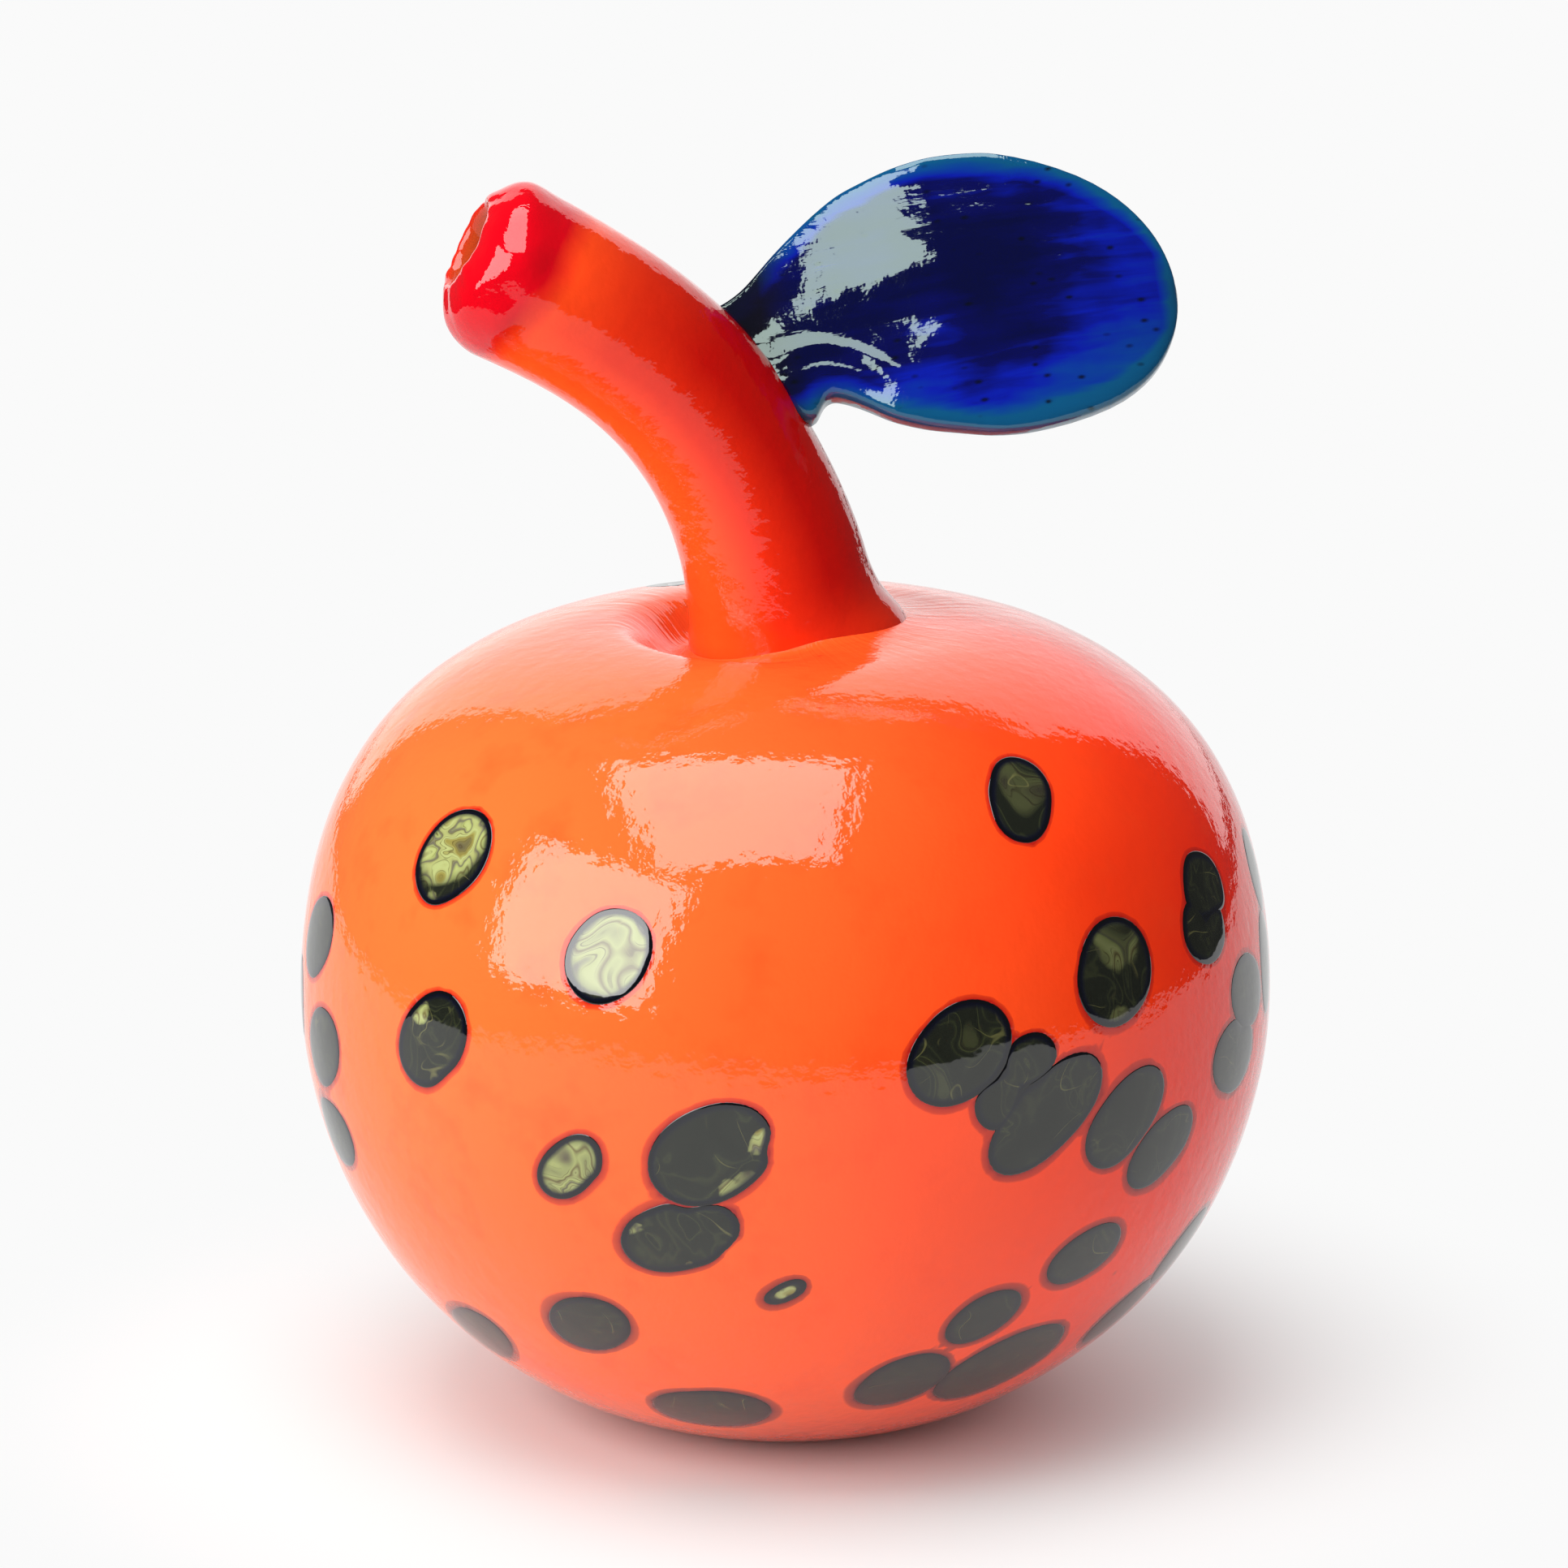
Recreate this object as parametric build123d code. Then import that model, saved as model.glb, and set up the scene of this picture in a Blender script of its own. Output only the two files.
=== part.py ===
from build123d import *
import os
from math import cos, radians, sin

# Art glass apple, hot-worked in five kinds of glass and standing on a ground foot.
# A blown body carries a colour casing with dark lustre chips melted into it. A bent hollow stem
# sits on the neck in the dimple, and a solid leaf is stuck on the side of the stem.
# Millimetres, +Z up, the middle of the ground foot at the origin, the front towards -Y.

# Body, measured over the colour casing
BODY_DIAMETER = 150.0
BODY_HEIGHT = 123.6
BELLY_HEIGHT = 66.7
FOOT_DIAMETER = 48.0
FOOT_SLOPE = 13.6
CASING_WALL = 1.5
CORE_WALL = 4.5
BASE_THICKNESS = 9.0

# Dimple, and the neck in it that carries the stem
CREST_DIAMETER = 54.0
DIMPLE_DEPTH = 7.4
NECK_DIAMETER = 30.0
NECK_RISE = 3.0
NECK_BORE = 19.0

# Stem, a hollow cane that bends towards -X in an upright plane, turned a little to the front
STEM_DIAMETER = 26.0
STEM_WALL = 5.0
STEM_REACH = 49.4
STEM_RIM_HEIGHT = 183.6
STEM_END_LEAN = 62.0
STEM_TURN = 12.0

# Leaf, a solid paddle that leans back from upright, climbs a little towards its tip and bows
# to the front of its foot
LEAF_LENGTH = 63.2
LEAF_WIDTH = 44.4
LEAF_THICKNESS = 6.2
LEAF_LEAN = 27.0
LEAF_CLIMB = 8.0
LEAF_PLACE = 0.49
LEAF_TIP_OFFSET = 1.85
LEAF_BOW = 3.5

# Lustre chips stand this far out of the casing
CHIP_PROUD = 0.3

# Radii and heights that follow from these sizes
BODY_RADIUS = BODY_DIAMETER / 2
FOOT_RADIUS = FOOT_DIAMETER / 2
CREST_RADIUS = CREST_DIAMETER / 2
NECK_RADIUS = NECK_DIAMETER / 2
BORE_RADIUS = NECK_BORE / 2
STEM_BORE_RADIUS = STEM_DIAMETER / 2 - STEM_WALL
WALL = CASING_WALL + CORE_WALL
SHOULDER_RISE = BODY_HEIGHT - BELLY_HEIGHT
VALLEY_HEIGHT = BODY_HEIGHT - DIMPLE_DEPTH
SEAM_HEIGHT = VALLEY_HEIGHT + NECK_RISE
STEM_RISE = STEM_RIM_HEIGHT - SEAM_HEIGHT

# Fullness of the body's curves, as shares of the span that each handle lies along
FOOT_PULL = 0.416
BELLY_PULL = 0.47
SHOULDER_PULL = 0.928
CREST_PULL = 0.146
LIP_PULL = 0.55
VALLEY_PULL = 0.3
VALLEY_PLACE = 0.22
DIMPLE_FOLLOW = 0.6

# Fullness of the hollow's curves, and how many walls its crest and its ceiling stand off
FLOOR_PULL = 0.62
HOLLOW_SHOULDER_PULL = 0.88
HOLLOW_CREST_PULL = 0.12
HOLLOW_CREST_OUT = 1.1
CEILING_OUT = 0.75

# A chip's plug starts inside the wall and ends outside it
PLUG_START = 0.75 * min(SHOULDER_RISE, BELLY_HEIGHT, BODY_RADIUS)
PLUG_END = 1.2 * BODY_RADIUS

# Route of the stem's centre line, as shares of its reach and of its rise above the seam
STEM_ROUTE = [(0, 0), (0.075, 0.3), (0.31, 0.635), (0.645, 0.855), (1, 1)]

# Stations of the stem above the neck: share of the route, and of the stem's diameter
STEM_STATIONS = [(0.15, 1.09), (0.35, 1.0), (0.55, 0.99), (0.75, 1.0), (1.0, 1.055)]
RIM_ROUNDING = 0.55 * STEM_WALL
MOUTH_ROUNDING = 0.3 * STEM_WALL

# Stations of the leaf: share of its length, of its width and of its thickness, how far the middle
# of the blade lies above the line from the foot to the tip, as a share of the width, and how far
# it stands in front of the foot, as a share of the bow
LEAF_STATIONS = [
    (-0.13, 0.36, 1.6, -0.04, -0.7),
    (0.07, 0.51, 1.65, 0.115, -0.6),
    (0.22, 0.75, 1.25, 0.165, 0.05),
    (0.38, 0.94, 1.1, 0.145, 0.78),
    (0.54, 1.0, 1.0, 0.122, 1.0),
    (0.7, 0.94, 0.95, 0.092, 1.0),
    (0.83, 0.78, 0.88, 0.072, 1.0),
    (0.925, 0.55, 0.75, 0.052, 1.0),
    (0.98, 0.28, 0.5, 0.042, 1.0),
]

# Chips spread as the bubble is blown out, so their sizes are angles seen from its middle: turn
# around the body from the front towards +X, rise from the belly (90 is straight up on a round
# body), long and short diameter, lean of the long diameter towards +X
CHIPS = [
    (-47, 32.8, 12.2, 10.7, 39),
    (-21.2, 23.5, 11.4, 10, 36),
    (-44.5, 6.6, 13.7, 9.5, 40),
    (-74, 13, 12.6, 9.2, 54),
    (-84, 0, 9.9, 6.9, 0),
    (-70, -2.6, 13.2, 9.1, 65),
    (-70, -14.5, 13, 8.4, 83),
    (-25.2, -7.3, 10.2, 6.2, 45),
    (-8.5, -3.9, 15.8, 11, 53),
    (-12.4, -15.6, 15, 8.8, 67),
    (0, -23.5, 5.7, 2.7, 56),
    (-26.8, -32, 12.1, 8.5, 60),
    (-52.5, -41.3, 14.6, 8.6, 56),
    (-12.5, -49, 14.8, 10.7, 75),
    (35, 43, 11.8, 8.1, 28),
    (41.6, 17.6, 13.1, 11.3, 33),
    (62, 25, 9.2, 7.6, -72),
    (59.5, 18.7, 10, 7.6, -81),
    (69.5, 6.2, 12.2, 8.6, -75),
    (65, -2, 13, 8.8, -87),
    (20, 9.8, 14.1, 10.6, 55),
    (30.9, -1.2, 17.5, 9.2, 51),
    (26.8, 4.5, 12.5, 8.2, 44),
    (42, -4.4, 14.6, 8.9, 52),
    (49.3, -10, 12.4, 7.8, 62),
    (39.8, -23.2, 10.7, 7.6, 70),
    (26.5, -30.6, 10.2, 7.2, 55),
    (34.1, -41.9, 17, 12.2, 55),
    (17.7, -42, 12.7, 9.7, 35),
    (66, -30.5, 11.6, 8.6, 40),
    (58, -39, 11.5, 8.8, 40),
    (83, 20.4, 10.4, 7.7, 5),
    (80, 7, 12.5, 8, 8),
    (-151, 64, 9.2, 6.1, 60),
    (104, 30.5, 11.5, 9.2, 30),
    (100, -15.5, 13, 9.9, 60),
    (112, -3.5, 9.9, 7.6, -20),
    (124, 15.5, 13.8, 9.9, 45),
    (120, -33, 12.2, 9.2, 75),
    (140, 37.5, 10.7, 8.4, -40),
    (138, -9, 15.3, 10.7, 60),
    (152, 8, 12.2, 9.9, 20),
    (150, -26.5, 11.5, 8.4, -65),
    (165, -11, 9.2, 6.9, 40),
    (172, 25.5, 13, 9.9, -30),
    (176, -37, 14.5, 9.9, 80),
    (-170, 2.5, 13.8, 10.7, 50),
    (-160, -20, 10.7, 8.4, -50),
    (-152, 41.5, 9.9, 7.6, 15),
    (-146, 10.5, 12.2, 9.2, 70),
    (-140, -9, 15.3, 9.9, 45),
    (-130, -35, 13, 9.2, -70),
    (-122, 23, 11.5, 9.2, 25),
    (-112, -2, 13, 9.9, -60),
    (-108, -22.5, 10.7, 7.6, 50),
    (-98, 18, 12.2, 9.2, 35),
]


def body_line(inset):
    """Half outline of the body, this far inside its finished surface, from foot to neck seam."""
    slope = radians(FOOT_SLOPE)
    radius = BODY_RADIUS - inset
    foot = FOOT_RADIUS - inset / sin(slope)
    crest = BODY_HEIGHT - inset
    valley = VALLEY_HEIGHT - inset
    valley_radius = NECK_RADIUS + VALLEY_PLACE * (CREST_RADIUS - NECK_RADIUS)
    dimple_width = CREST_RADIUS - valley_radius
    follow = DIMPLE_FOLLOW * inset
    neck = NECK_RADIUS - inset
    under_handle = FOOT_PULL * BODY_RADIUS
    underside = Bezier(
        (foot, 0),
        (
            FOOT_RADIUS + under_handle * cos(slope) - inset * sin(slope),
            under_handle * sin(slope) + inset * cos(slope),
        ),
        (radius, (1 - BELLY_PULL) * BELLY_HEIGHT),
        (radius, BELLY_HEIGHT),
    )
    shoulder = Bezier(
        (radius, BELLY_HEIGHT),
        (radius, BELLY_HEIGHT + SHOULDER_PULL * SHOULDER_RISE - inset),
        (CREST_RADIUS + CREST_PULL * (BODY_RADIUS - CREST_RADIUS), crest),
        (CREST_RADIUS, crest),
    )
    dimple = Bezier(
        (CREST_RADIUS, crest),
        (CREST_RADIUS - LIP_PULL * dimple_width + follow, crest),
        (valley_radius + VALLEY_PULL * dimple_width + follow, valley),
        (valley_radius, valley),
    )
    neck_root = Bezier(
        (valley_radius, valley),
        ((valley_radius + neck) / 2, valley),
        (neck, (valley + SEAM_HEIGHT) / 2),
        (neck, SEAM_HEIGHT),
    )
    return [underside, shoulder, dimple, neck_root]


def hollow_line():
    """Half outline of the blown hollow, from its floor on the axis to the bore at the seam."""
    radius = BODY_RADIUS - WALL
    crest_radius = CREST_RADIUS + HOLLOW_CREST_OUT * WALL
    crest = BODY_HEIGHT - WALL
    ceiling = VALLEY_HEIGHT - WALL
    ceiling_radius = BORE_RADIUS + CEILING_OUT * WALL
    bore_start = ceiling + CEILING_OUT * WALL
    middle_radius = (crest_radius + ceiling_radius) / 2
    floor = Bezier(
        (0, BASE_THICKNESS),
        (FLOOR_PULL * radius, BASE_THICKNESS),
        (radius, (1 - BELLY_PULL) * BELLY_HEIGHT),
        (radius, BELLY_HEIGHT),
    )
    shoulder = Bezier(
        (radius, BELLY_HEIGHT),
        (radius, BELLY_HEIGHT + HOLLOW_SHOULDER_PULL * (crest - BELLY_HEIGHT)),
        (crest_radius + HOLLOW_CREST_PULL * (radius - crest_radius), crest),
        (crest_radius, crest),
    )
    bulge = Bezier(
        (crest_radius, crest),
        (middle_radius, crest),
        (middle_radius, ceiling),
        (ceiling_radius, ceiling),
    )
    throat = Bezier(
        (ceiling_radius, ceiling),
        ((ceiling_radius + BORE_RADIUS) / 2, ceiling),
        (BORE_RADIUS, (ceiling + bore_start) / 2),
        (BORE_RADIUS, bore_start),
    )
    bore = Line((BORE_RADIUS, bore_start), (BORE_RADIUS, SEAM_HEIGHT))
    return [floor, shoulder, bulge, throat, bore]


def turned(*edges):
    """Solid turned around the body's axis from a closed half section."""
    return revolve(Plane.XZ * make_face(edges), Axis.Z)


def layer(outside, inside):
    """Even layer of the body's wall between two depths under its finished surface."""
    outer = body_line(outside)
    inner = body_line(inside)
    seam = Line(outer[-1] @ 1, inner[-1] @ 1)
    flat = Line(outer[0] @ 0, inner[0] @ 0)
    return turned(*outer, *inner, seam, flat)


def blown_core():
    """Bubble of opal glass, with the neck bore at the top and the ground flat below."""
    outer = body_line(CASING_WALL)
    inner = hollow_line()
    seam = Line(outer[-1] @ 1, inner[-1] @ 1)
    axis = Line(inner[0] @ 0, (0, 0))
    flat = Line((0, 0), outer[0] @ 0)
    return turned(*outer, seam, *inner, axis, flat)


def chip_frame(turn, rise):
    """Plane at the middle of the body that looks out through a chip."""
    around = radians(turn)
    up = radians(rise)
    height = SHOULDER_RISE if rise > 0 else BELLY_HEIGHT
    out = BODY_RADIUS * cos(up)
    outward = (sin(around) * out, -cos(around) * out, height * sin(up))
    return Plane((0, 0, BELLY_HEIGHT), x_dir=(cos(around), sin(around), 0), z_dir=outward)


def chip_plug(turn, rise, long, short, lean):
    """Oval plug that looks out through the body's wall."""
    half_long = BODY_RADIUS * radians(long) / 2
    half_short = BODY_RADIUS * radians(short) / 2
    oval = Pos(0, 0, PLUG_START) * Ellipse(half_short, half_long, rotation=-lean)
    return extrude(chip_frame(turn, rise) * oval, PLUG_END - PLUG_START)


def near(one, other):
    """True where two chips come so close that they may run into each other."""
    between = chip_frame(*one[:2]).z_dir.get_angle(chip_frame(*other[:2]).z_dir)
    return between < one[2] + other[2]


def stem_plane():
    """Upright plane that the stem bends in."""
    turn = radians(STEM_TURN)
    return Plane((0, 0, 0), x_dir=(cos(turn), sin(turn), 0), z_dir=(sin(turn), -cos(turn), 0))


def stem_route():
    """Centre line of the stem, from the neck seam to the rim."""
    points = [(-STEM_REACH * out, SEAM_HEIGHT + STEM_RISE * up) for out, up in STEM_ROUTE]
    end = (-sin(radians(STEM_END_LEAN)), cos(radians(STEM_END_LEAN)))
    return stem_plane() * Spline(points, tangents=[(0, 1), end])


def stem_section(route, share, radius):
    """Round section across the stem's centre line."""
    return Plane(route @ share, x_dir=stem_plane().z_dir, z_dir=route % share) * Circle(radius)


def stem_cane(route):
    """Stem without its bore, as wide as the neck at its foot."""
    usual = STEM_DIAMETER / 2
    above = [stem_section(route, share, usual * size) for share, size in STEM_STATIONS]
    return loft([stem_section(route, 0, NECK_RADIUS), *above])


def stem_bore(route):
    """Hollow of the stem, as wide as the neck's bore at its foot."""
    above = [stem_section(route, share, STEM_BORE_RADIUS) for share, size in STEM_STATIONS[1:]]
    return loft([stem_section(route, 0, BORE_RADIUS), *above])


def rim_face(tube):
    """Flat ring at the open end of the stem."""
    return tube.faces().filter_by(GeomType.PLANE).sort_by(Axis.X)[0]


def hollow_stem(route, cane):
    """Stem with its bore, and the rim rounded as the flame leaves it."""
    tube = cane - stem_bore(route)
    tube = fillet(rim_face(tube).outer_wire().edges(), RIM_ROUNDING)
    return fillet(rim_face(tube).inner_wires()[0].edges(), MOUTH_ROUNDING)


def leaf_blade(route):
    """Leaf as one loft from a root inside the stem, through the neck and the blade, to the tip."""
    lean = radians(LEAF_LEAN)
    climb = radians(LEAF_CLIMB)
    sideways = stem_plane().z_dir.cross(route % LEAF_PLACE) * -1
    foot = route @ LEAF_PLACE + sideways * STEM_DIAMETER / 2
    towards_tip = (cos(climb), sin(climb) * sin(lean), sin(climb) * cos(lean))
    blade = Plane(foot, x_dir=towards_tip, z_dir=(0, -cos(lean), sin(lean)))
    sections = []
    for along, width, thickness, above, forward in LEAF_STATIONS:
        place = (along * LEAF_LENGTH, above * LEAF_WIDTH, forward * LEAF_BOW)
        oval = Ellipse(width * LEAF_WIDTH / 2, thickness * LEAF_THICKNESS / 2)
        middle = blade.from_local_coords(place)
        sections.append(Plane(middle, x_dir=blade.y_dir, z_dir=blade.x_dir) * oval)
    tip = blade.from_local_coords((LEAF_LENGTH, LEAF_TIP_OFFSET, LEAF_BOW))
    return loft([*sections, Vertex(*tip)])


# Body: core, casing and the chips that are let into the casing
body_core = blown_core()
casing = layer(0, CASING_WALL)
chip_layer = layer(-CHIP_PROUD, CASING_WALL)
plugs = [chip_plug(*chip) for chip in CHIPS]
chips = []
for place, chip in enumerate(CHIPS):
    earlier = [plugs[k] for k in range(place) if near(chip, CHIPS[k])]
    piece = chip_layer & plugs[place]
    chips.append(piece - earlier if earlier else piece)
colour_casing = casing - plugs

# Stem and leaf
route = stem_route()
cane = stem_cane(route)
stem = hollow_stem(route, cane)
leaf = leaf_blade(route) - cane

os.makedirs("parts", exist_ok=True)
export_step(body_core, "parts/body_core.step")
export_step(colour_casing, "parts/colour_casing.step")
export_step(stem, "parts/stem.step")
export_step(leaf, "parts/leaf.step")
for place, piece in enumerate(chips):
    export_step(piece, f"parts/lustre_chip_{place + 1:02d}.step")
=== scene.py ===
# %% [markdown]
# # An art glass apple
#
# The object is an ornament of hot-worked glass. A blown body is cased in orange glass, dark chips
# of lustre glass are melted into the casing, a bent hollow stem sits in the dimple and a blue leaf
# is stuck on the stem. This lesson dresses the exact CAD model of the apple for a picture: each
# new piece is made in the same frame, in metres, and stands for one CAD piece. So the first step
# loads the model.

# %% Load the model
import random
from math import atan2, copysign, cos, exp, hypot, pi, radians, sin

import bmesh
import bpy
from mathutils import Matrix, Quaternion, Vector, noise
from mathutils.bvhtree import BVHTree
from mathutils.geometry import interpolate_bezier
from mathutils.kdtree import KDTree


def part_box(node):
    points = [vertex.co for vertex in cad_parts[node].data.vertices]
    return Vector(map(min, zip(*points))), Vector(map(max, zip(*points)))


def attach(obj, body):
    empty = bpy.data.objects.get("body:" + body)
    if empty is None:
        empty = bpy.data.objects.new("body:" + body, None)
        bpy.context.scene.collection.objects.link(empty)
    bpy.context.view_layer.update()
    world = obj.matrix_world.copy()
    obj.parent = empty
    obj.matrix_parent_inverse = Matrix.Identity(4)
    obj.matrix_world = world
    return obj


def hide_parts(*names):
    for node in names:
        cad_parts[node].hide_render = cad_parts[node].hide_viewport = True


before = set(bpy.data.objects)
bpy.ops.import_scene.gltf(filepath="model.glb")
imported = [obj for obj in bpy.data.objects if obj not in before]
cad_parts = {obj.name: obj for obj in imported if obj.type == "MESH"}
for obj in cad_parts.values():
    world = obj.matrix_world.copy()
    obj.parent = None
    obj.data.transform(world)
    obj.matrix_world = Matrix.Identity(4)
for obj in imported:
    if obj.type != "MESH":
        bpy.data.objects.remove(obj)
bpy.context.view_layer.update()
scene = bpy.context.scene
scene.view_settings.view_transform = "Standard"
MM = 0.001
print("pieces in the model:", len(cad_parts))

# %% [markdown]
# ## The camera
#
# A photographer would stand about a metre away with a long lens, a little above the shoulder of
# the apple, so that the dimple shows. A long lens keeps the far side of the body from shrinking.
# We place the eye and the point that it looks at, and let a track rotation turn the camera.

# %% Place the camera
EYE = Vector((0, -1.061, 0.3853))
AIM = Vector((-0.00025, 0, 0.0981))
FOCAL_LENGTH, SENSOR_WIDTH = 164.1, 36
camera = bpy.data.objects.new("camera", bpy.data.cameras.new("camera"))
camera.data.sensor_width = SENSOR_WIDTH
camera.data.lens = FOCAL_LENGTH
camera.location = EYE
camera.rotation_euler = (AIM - EYE).to_track_quat("-Z", "Y").to_euler()
scene.collection.objects.link(camera)
scene.camera = camera
print("camera distance:", round((AIM - EYE).length, 3), "m")

# %% [markdown]
# ## Colours and shader nodes
#
# Colours are given as sRGB hex values, but shaders count light, so one function turns a
# hex value into linear numbers. A second one adds any node: its settings, its socket values and
# its links in one call, so that a material reads like a recipe. An input can be a value, a hex
# colour, a socket or a whole node, whose first working output is then linked. A third function
# turns the size of a pattern in millimetres into the scale that a texture node wants.

# %% Helpers for materials
def linear(hex_colour):
    """Linear red, green, blue and alpha of an sRGB hex colour."""
    parts = [int(hex_colour[k:k + 2], 16) / 255 for k in (1, 3, 5)]
    return [c / 12.92 if c <= 0.04045 else ((c + 0.055) / 1.055) ** 2.4 for c in parts] + [1.0]


def add(tree, kind, inputs=None, stops=(), **settings):
    """Adds a node. Stops fill a colour ramp from left to right, with hex colours or grey levels."""
    node = tree.nodes.new("ShaderNode" + kind)
    for name, value in settings.items():
        setattr(node, name, value)
    for name, value in (inputs or {}).items():
        if isinstance(value, bpy.types.Node):
            value = next(output for output in value.outputs if output.enabled)
        if isinstance(value, bpy.types.NodeSocket):
            tree.links.new(value, node.inputs[name])
        else:
            node.inputs[name].default_value = linear(value) if isinstance(value, str) else value
    for number, (place, colour) in enumerate(stops):
        ramp = node.color_ramp.elements
        stop = ramp[number] if number < 2 else ramp.new(place)
        stop.position = place
        stop.color = linear(colour) if isinstance(colour, str) else (colour, colour, colour, 1)
    return node


def new_material(name):
    """A new material, its node tree and the shader that is joined to its output."""
    material = bpy.data.materials.new(name)
    material.use_nodes = True
    tree = material.node_tree
    return material, tree, tree.nodes["Principled BSDF"]


def repeats(size):
    """Texture scale for a pattern of this size in millimetres: how often it fits in a metre."""
    return 1 / (size * MM)


print("deep orange in linear light:", [round(c, 3) for c in linear("#F25A24")])

# %% [markdown]
# ## The studio
#
# Glass is pictured by what it mirrors: a soft box hangs overhead, another stands at the left front,
# a white sheet of paper lies under the apple and runs back to a white wall, and the rest of the
# room is dim. The paper takes the shadow near the apple and turns into plain white further out,
# for the camera and for reflections, so that no grey patch shows behind the apple. A weak third
# lamp lifts the right side. It is kept out of the reflections, because the glass shows two boxes.

# %% White paper
PAPER_WIDTH, PAPER_FRONT, PAPER_BACK = 1.3, -0.6, 2.7
PAPER_DROP = 0.15 * MM
SHADOW_FULL, SHADOW_GONE = 0.02, 0.14


def stage_piece(name, bm, material):
    """Adds a piece of the studio, which isn't part of the apple."""
    mesh = bpy.data.meshes.new(name)
    bm.to_mesh(mesh)
    bm.free()
    mesh.materials.append(material)
    piece = bpy.data.objects.new(name, mesh)
    scene.collection.objects.link(piece)
    return piece


paper, tree, shader = new_material("matt white paper")
shader.inputs["Base Color"].default_value = linear("#E1E0DF")
shader.inputs["Roughness"].default_value = 0.9
shader.inputs["Specular IOR Level"].default_value = 0.2
distance = add(tree, "VectorMath", {0: add(tree, "TexCoord").outputs["Object"]}, operation="LENGTH")
far = add(tree, "MapRange", {"Value": distance, "From Min": SHADOW_FULL, "From Max": SHADOW_GONE},
          interpolation_type="SMOOTHSTEP")
path = add(tree, "LightPath")
seen = add(tree, "Math", {0: path.outputs["Is Camera Ray"], 1: path.outputs["Is Glossy Ray"]},
           operation="MAXIMUM")
seen = add(tree, "Math", {0: seen, 1: path.outputs["Is Transmission Ray"]}, operation="MAXIMUM")
blend = add(tree, "Math", {0: far, 1: seen}, operation="MULTIPLY")
white = add(tree, "Emission", {"Color": "#FAFAFA", "Strength": 1.0})
mixed = add(tree, "MixShader", {0: blend, 1: shader, 2: white})
tree.links.new(mixed.outputs[0], tree.nodes["Material Output"].inputs["Surface"])

bm = bmesh.new()
bmesh.ops.create_grid(bm, x_segments=1, y_segments=1, size=0.5)
bmesh.ops.scale(bm, verts=bm.verts, vec=(PAPER_WIDTH, PAPER_BACK - PAPER_FRONT, 1))
bmesh.ops.translate(bm, verts=bm.verts, vec=(0, (PAPER_BACK + PAPER_FRONT) / 2, -PAPER_DROP))
stage_piece("floor", bm, paper)
print("paper:", PAPER_WIDTH, "by", PAPER_BACK - PAPER_FRONT, "m")

# %% White wall
WALL_RADIUS, WALL_HEIGHT, WALL_STEPS = 2.6, 2.8, 24
WALL_FROM, WALL_TO = radians(48), radians(122)
card, tree, shader = new_material("white wall card")
glow = add(tree, "Emission", {"Color": "#FAFAFA", "Strength": 1.4})
tree.links.new(glow.outputs[0], tree.nodes["Material Output"].inputs["Surface"])
bm = bmesh.new()
foot = bm.verts.new((WALL_RADIUS * cos(WALL_FROM), WALL_RADIUS * sin(WALL_FROM), 0))
head = bm.verts.new(foot.co + Vector((0, 0, WALL_HEIGHT)))
edge = bm.edges.new((foot, head))
bmesh.ops.spin(bm, geom=[foot, head, edge], axis=(0, 0, 1), angle=WALL_TO - WALL_FROM,
               steps=WALL_STEPS)
stage_piece("wall", bm, card)
print("wall:", WALL_RADIUS, "m behind the apple")

# %% Lamps and the dim room
BODY_MIDDLE = Vector((0, 0, 66.7 * MM))
ROOM_LIGHT = 0.08


def soft_box(name, turn, rise, distance, width, height, brightness, roll=0, mirrored=True):
    """Rectangular lamp that looks at the middle of the body. Turn runs from the front to +X."""
    lamp = bpy.data.lights.new(name, "AREA")
    lamp.shape = "RECTANGLE"
    lamp.size, lamp.size_y = width, height
    lamp.energy = brightness * pi * width * height
    box = bpy.data.objects.new(name, lamp)
    turn, rise = radians(turn), radians(rise)
    away = Vector((sin(turn) * cos(rise), -cos(turn) * cos(rise), sin(rise)))
    box.location = BODY_MIDDLE + away * distance
    facing = (-away).to_track_quat("-Z", "Y") @ Quaternion((0, 0, 1), radians(roll))
    box.rotation_euler = facing.to_euler()
    box.visible_camera = False
    box.visible_glossy = mirrored
    scene.collection.objects.link(box)


soft_box("left_soft_box", turn=-52, rise=25.3, distance=0.95, width=0.69, height=0.665,
         brightness=6.2)
soft_box("overhead_soft_box", turn=-33, rise=73.5, distance=1.05, width=0.73, height=0.86,
         brightness=5.6, roll=30)
soft_box("right_fill", turn=42, rise=20, distance=1.2, width=1.2, height=1.0,
         brightness=0.75, mirrored=False)
world = bpy.data.worlds.new("dim room")
scene.world = world
world.use_nodes = True
world.node_tree.nodes["Background"].inputs["Color"].default_value = linear("#FFFFFF")
world.node_tree.nodes["Background"].inputs["Strength"].default_value = ROOM_LIGHT

# %% [markdown]
# ## The outline of the body
#
# A blown body is round because it is turned on the pipe, so one half outline says everything: the
# underside, the belly, the shoulder, the dimple and the neck. Four pull curves draw it, with the
# sizes of the real piece in millimetres. The same function draws the line that lies deeper inside
# the glass, which we need for the inner face of the casing.

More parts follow.
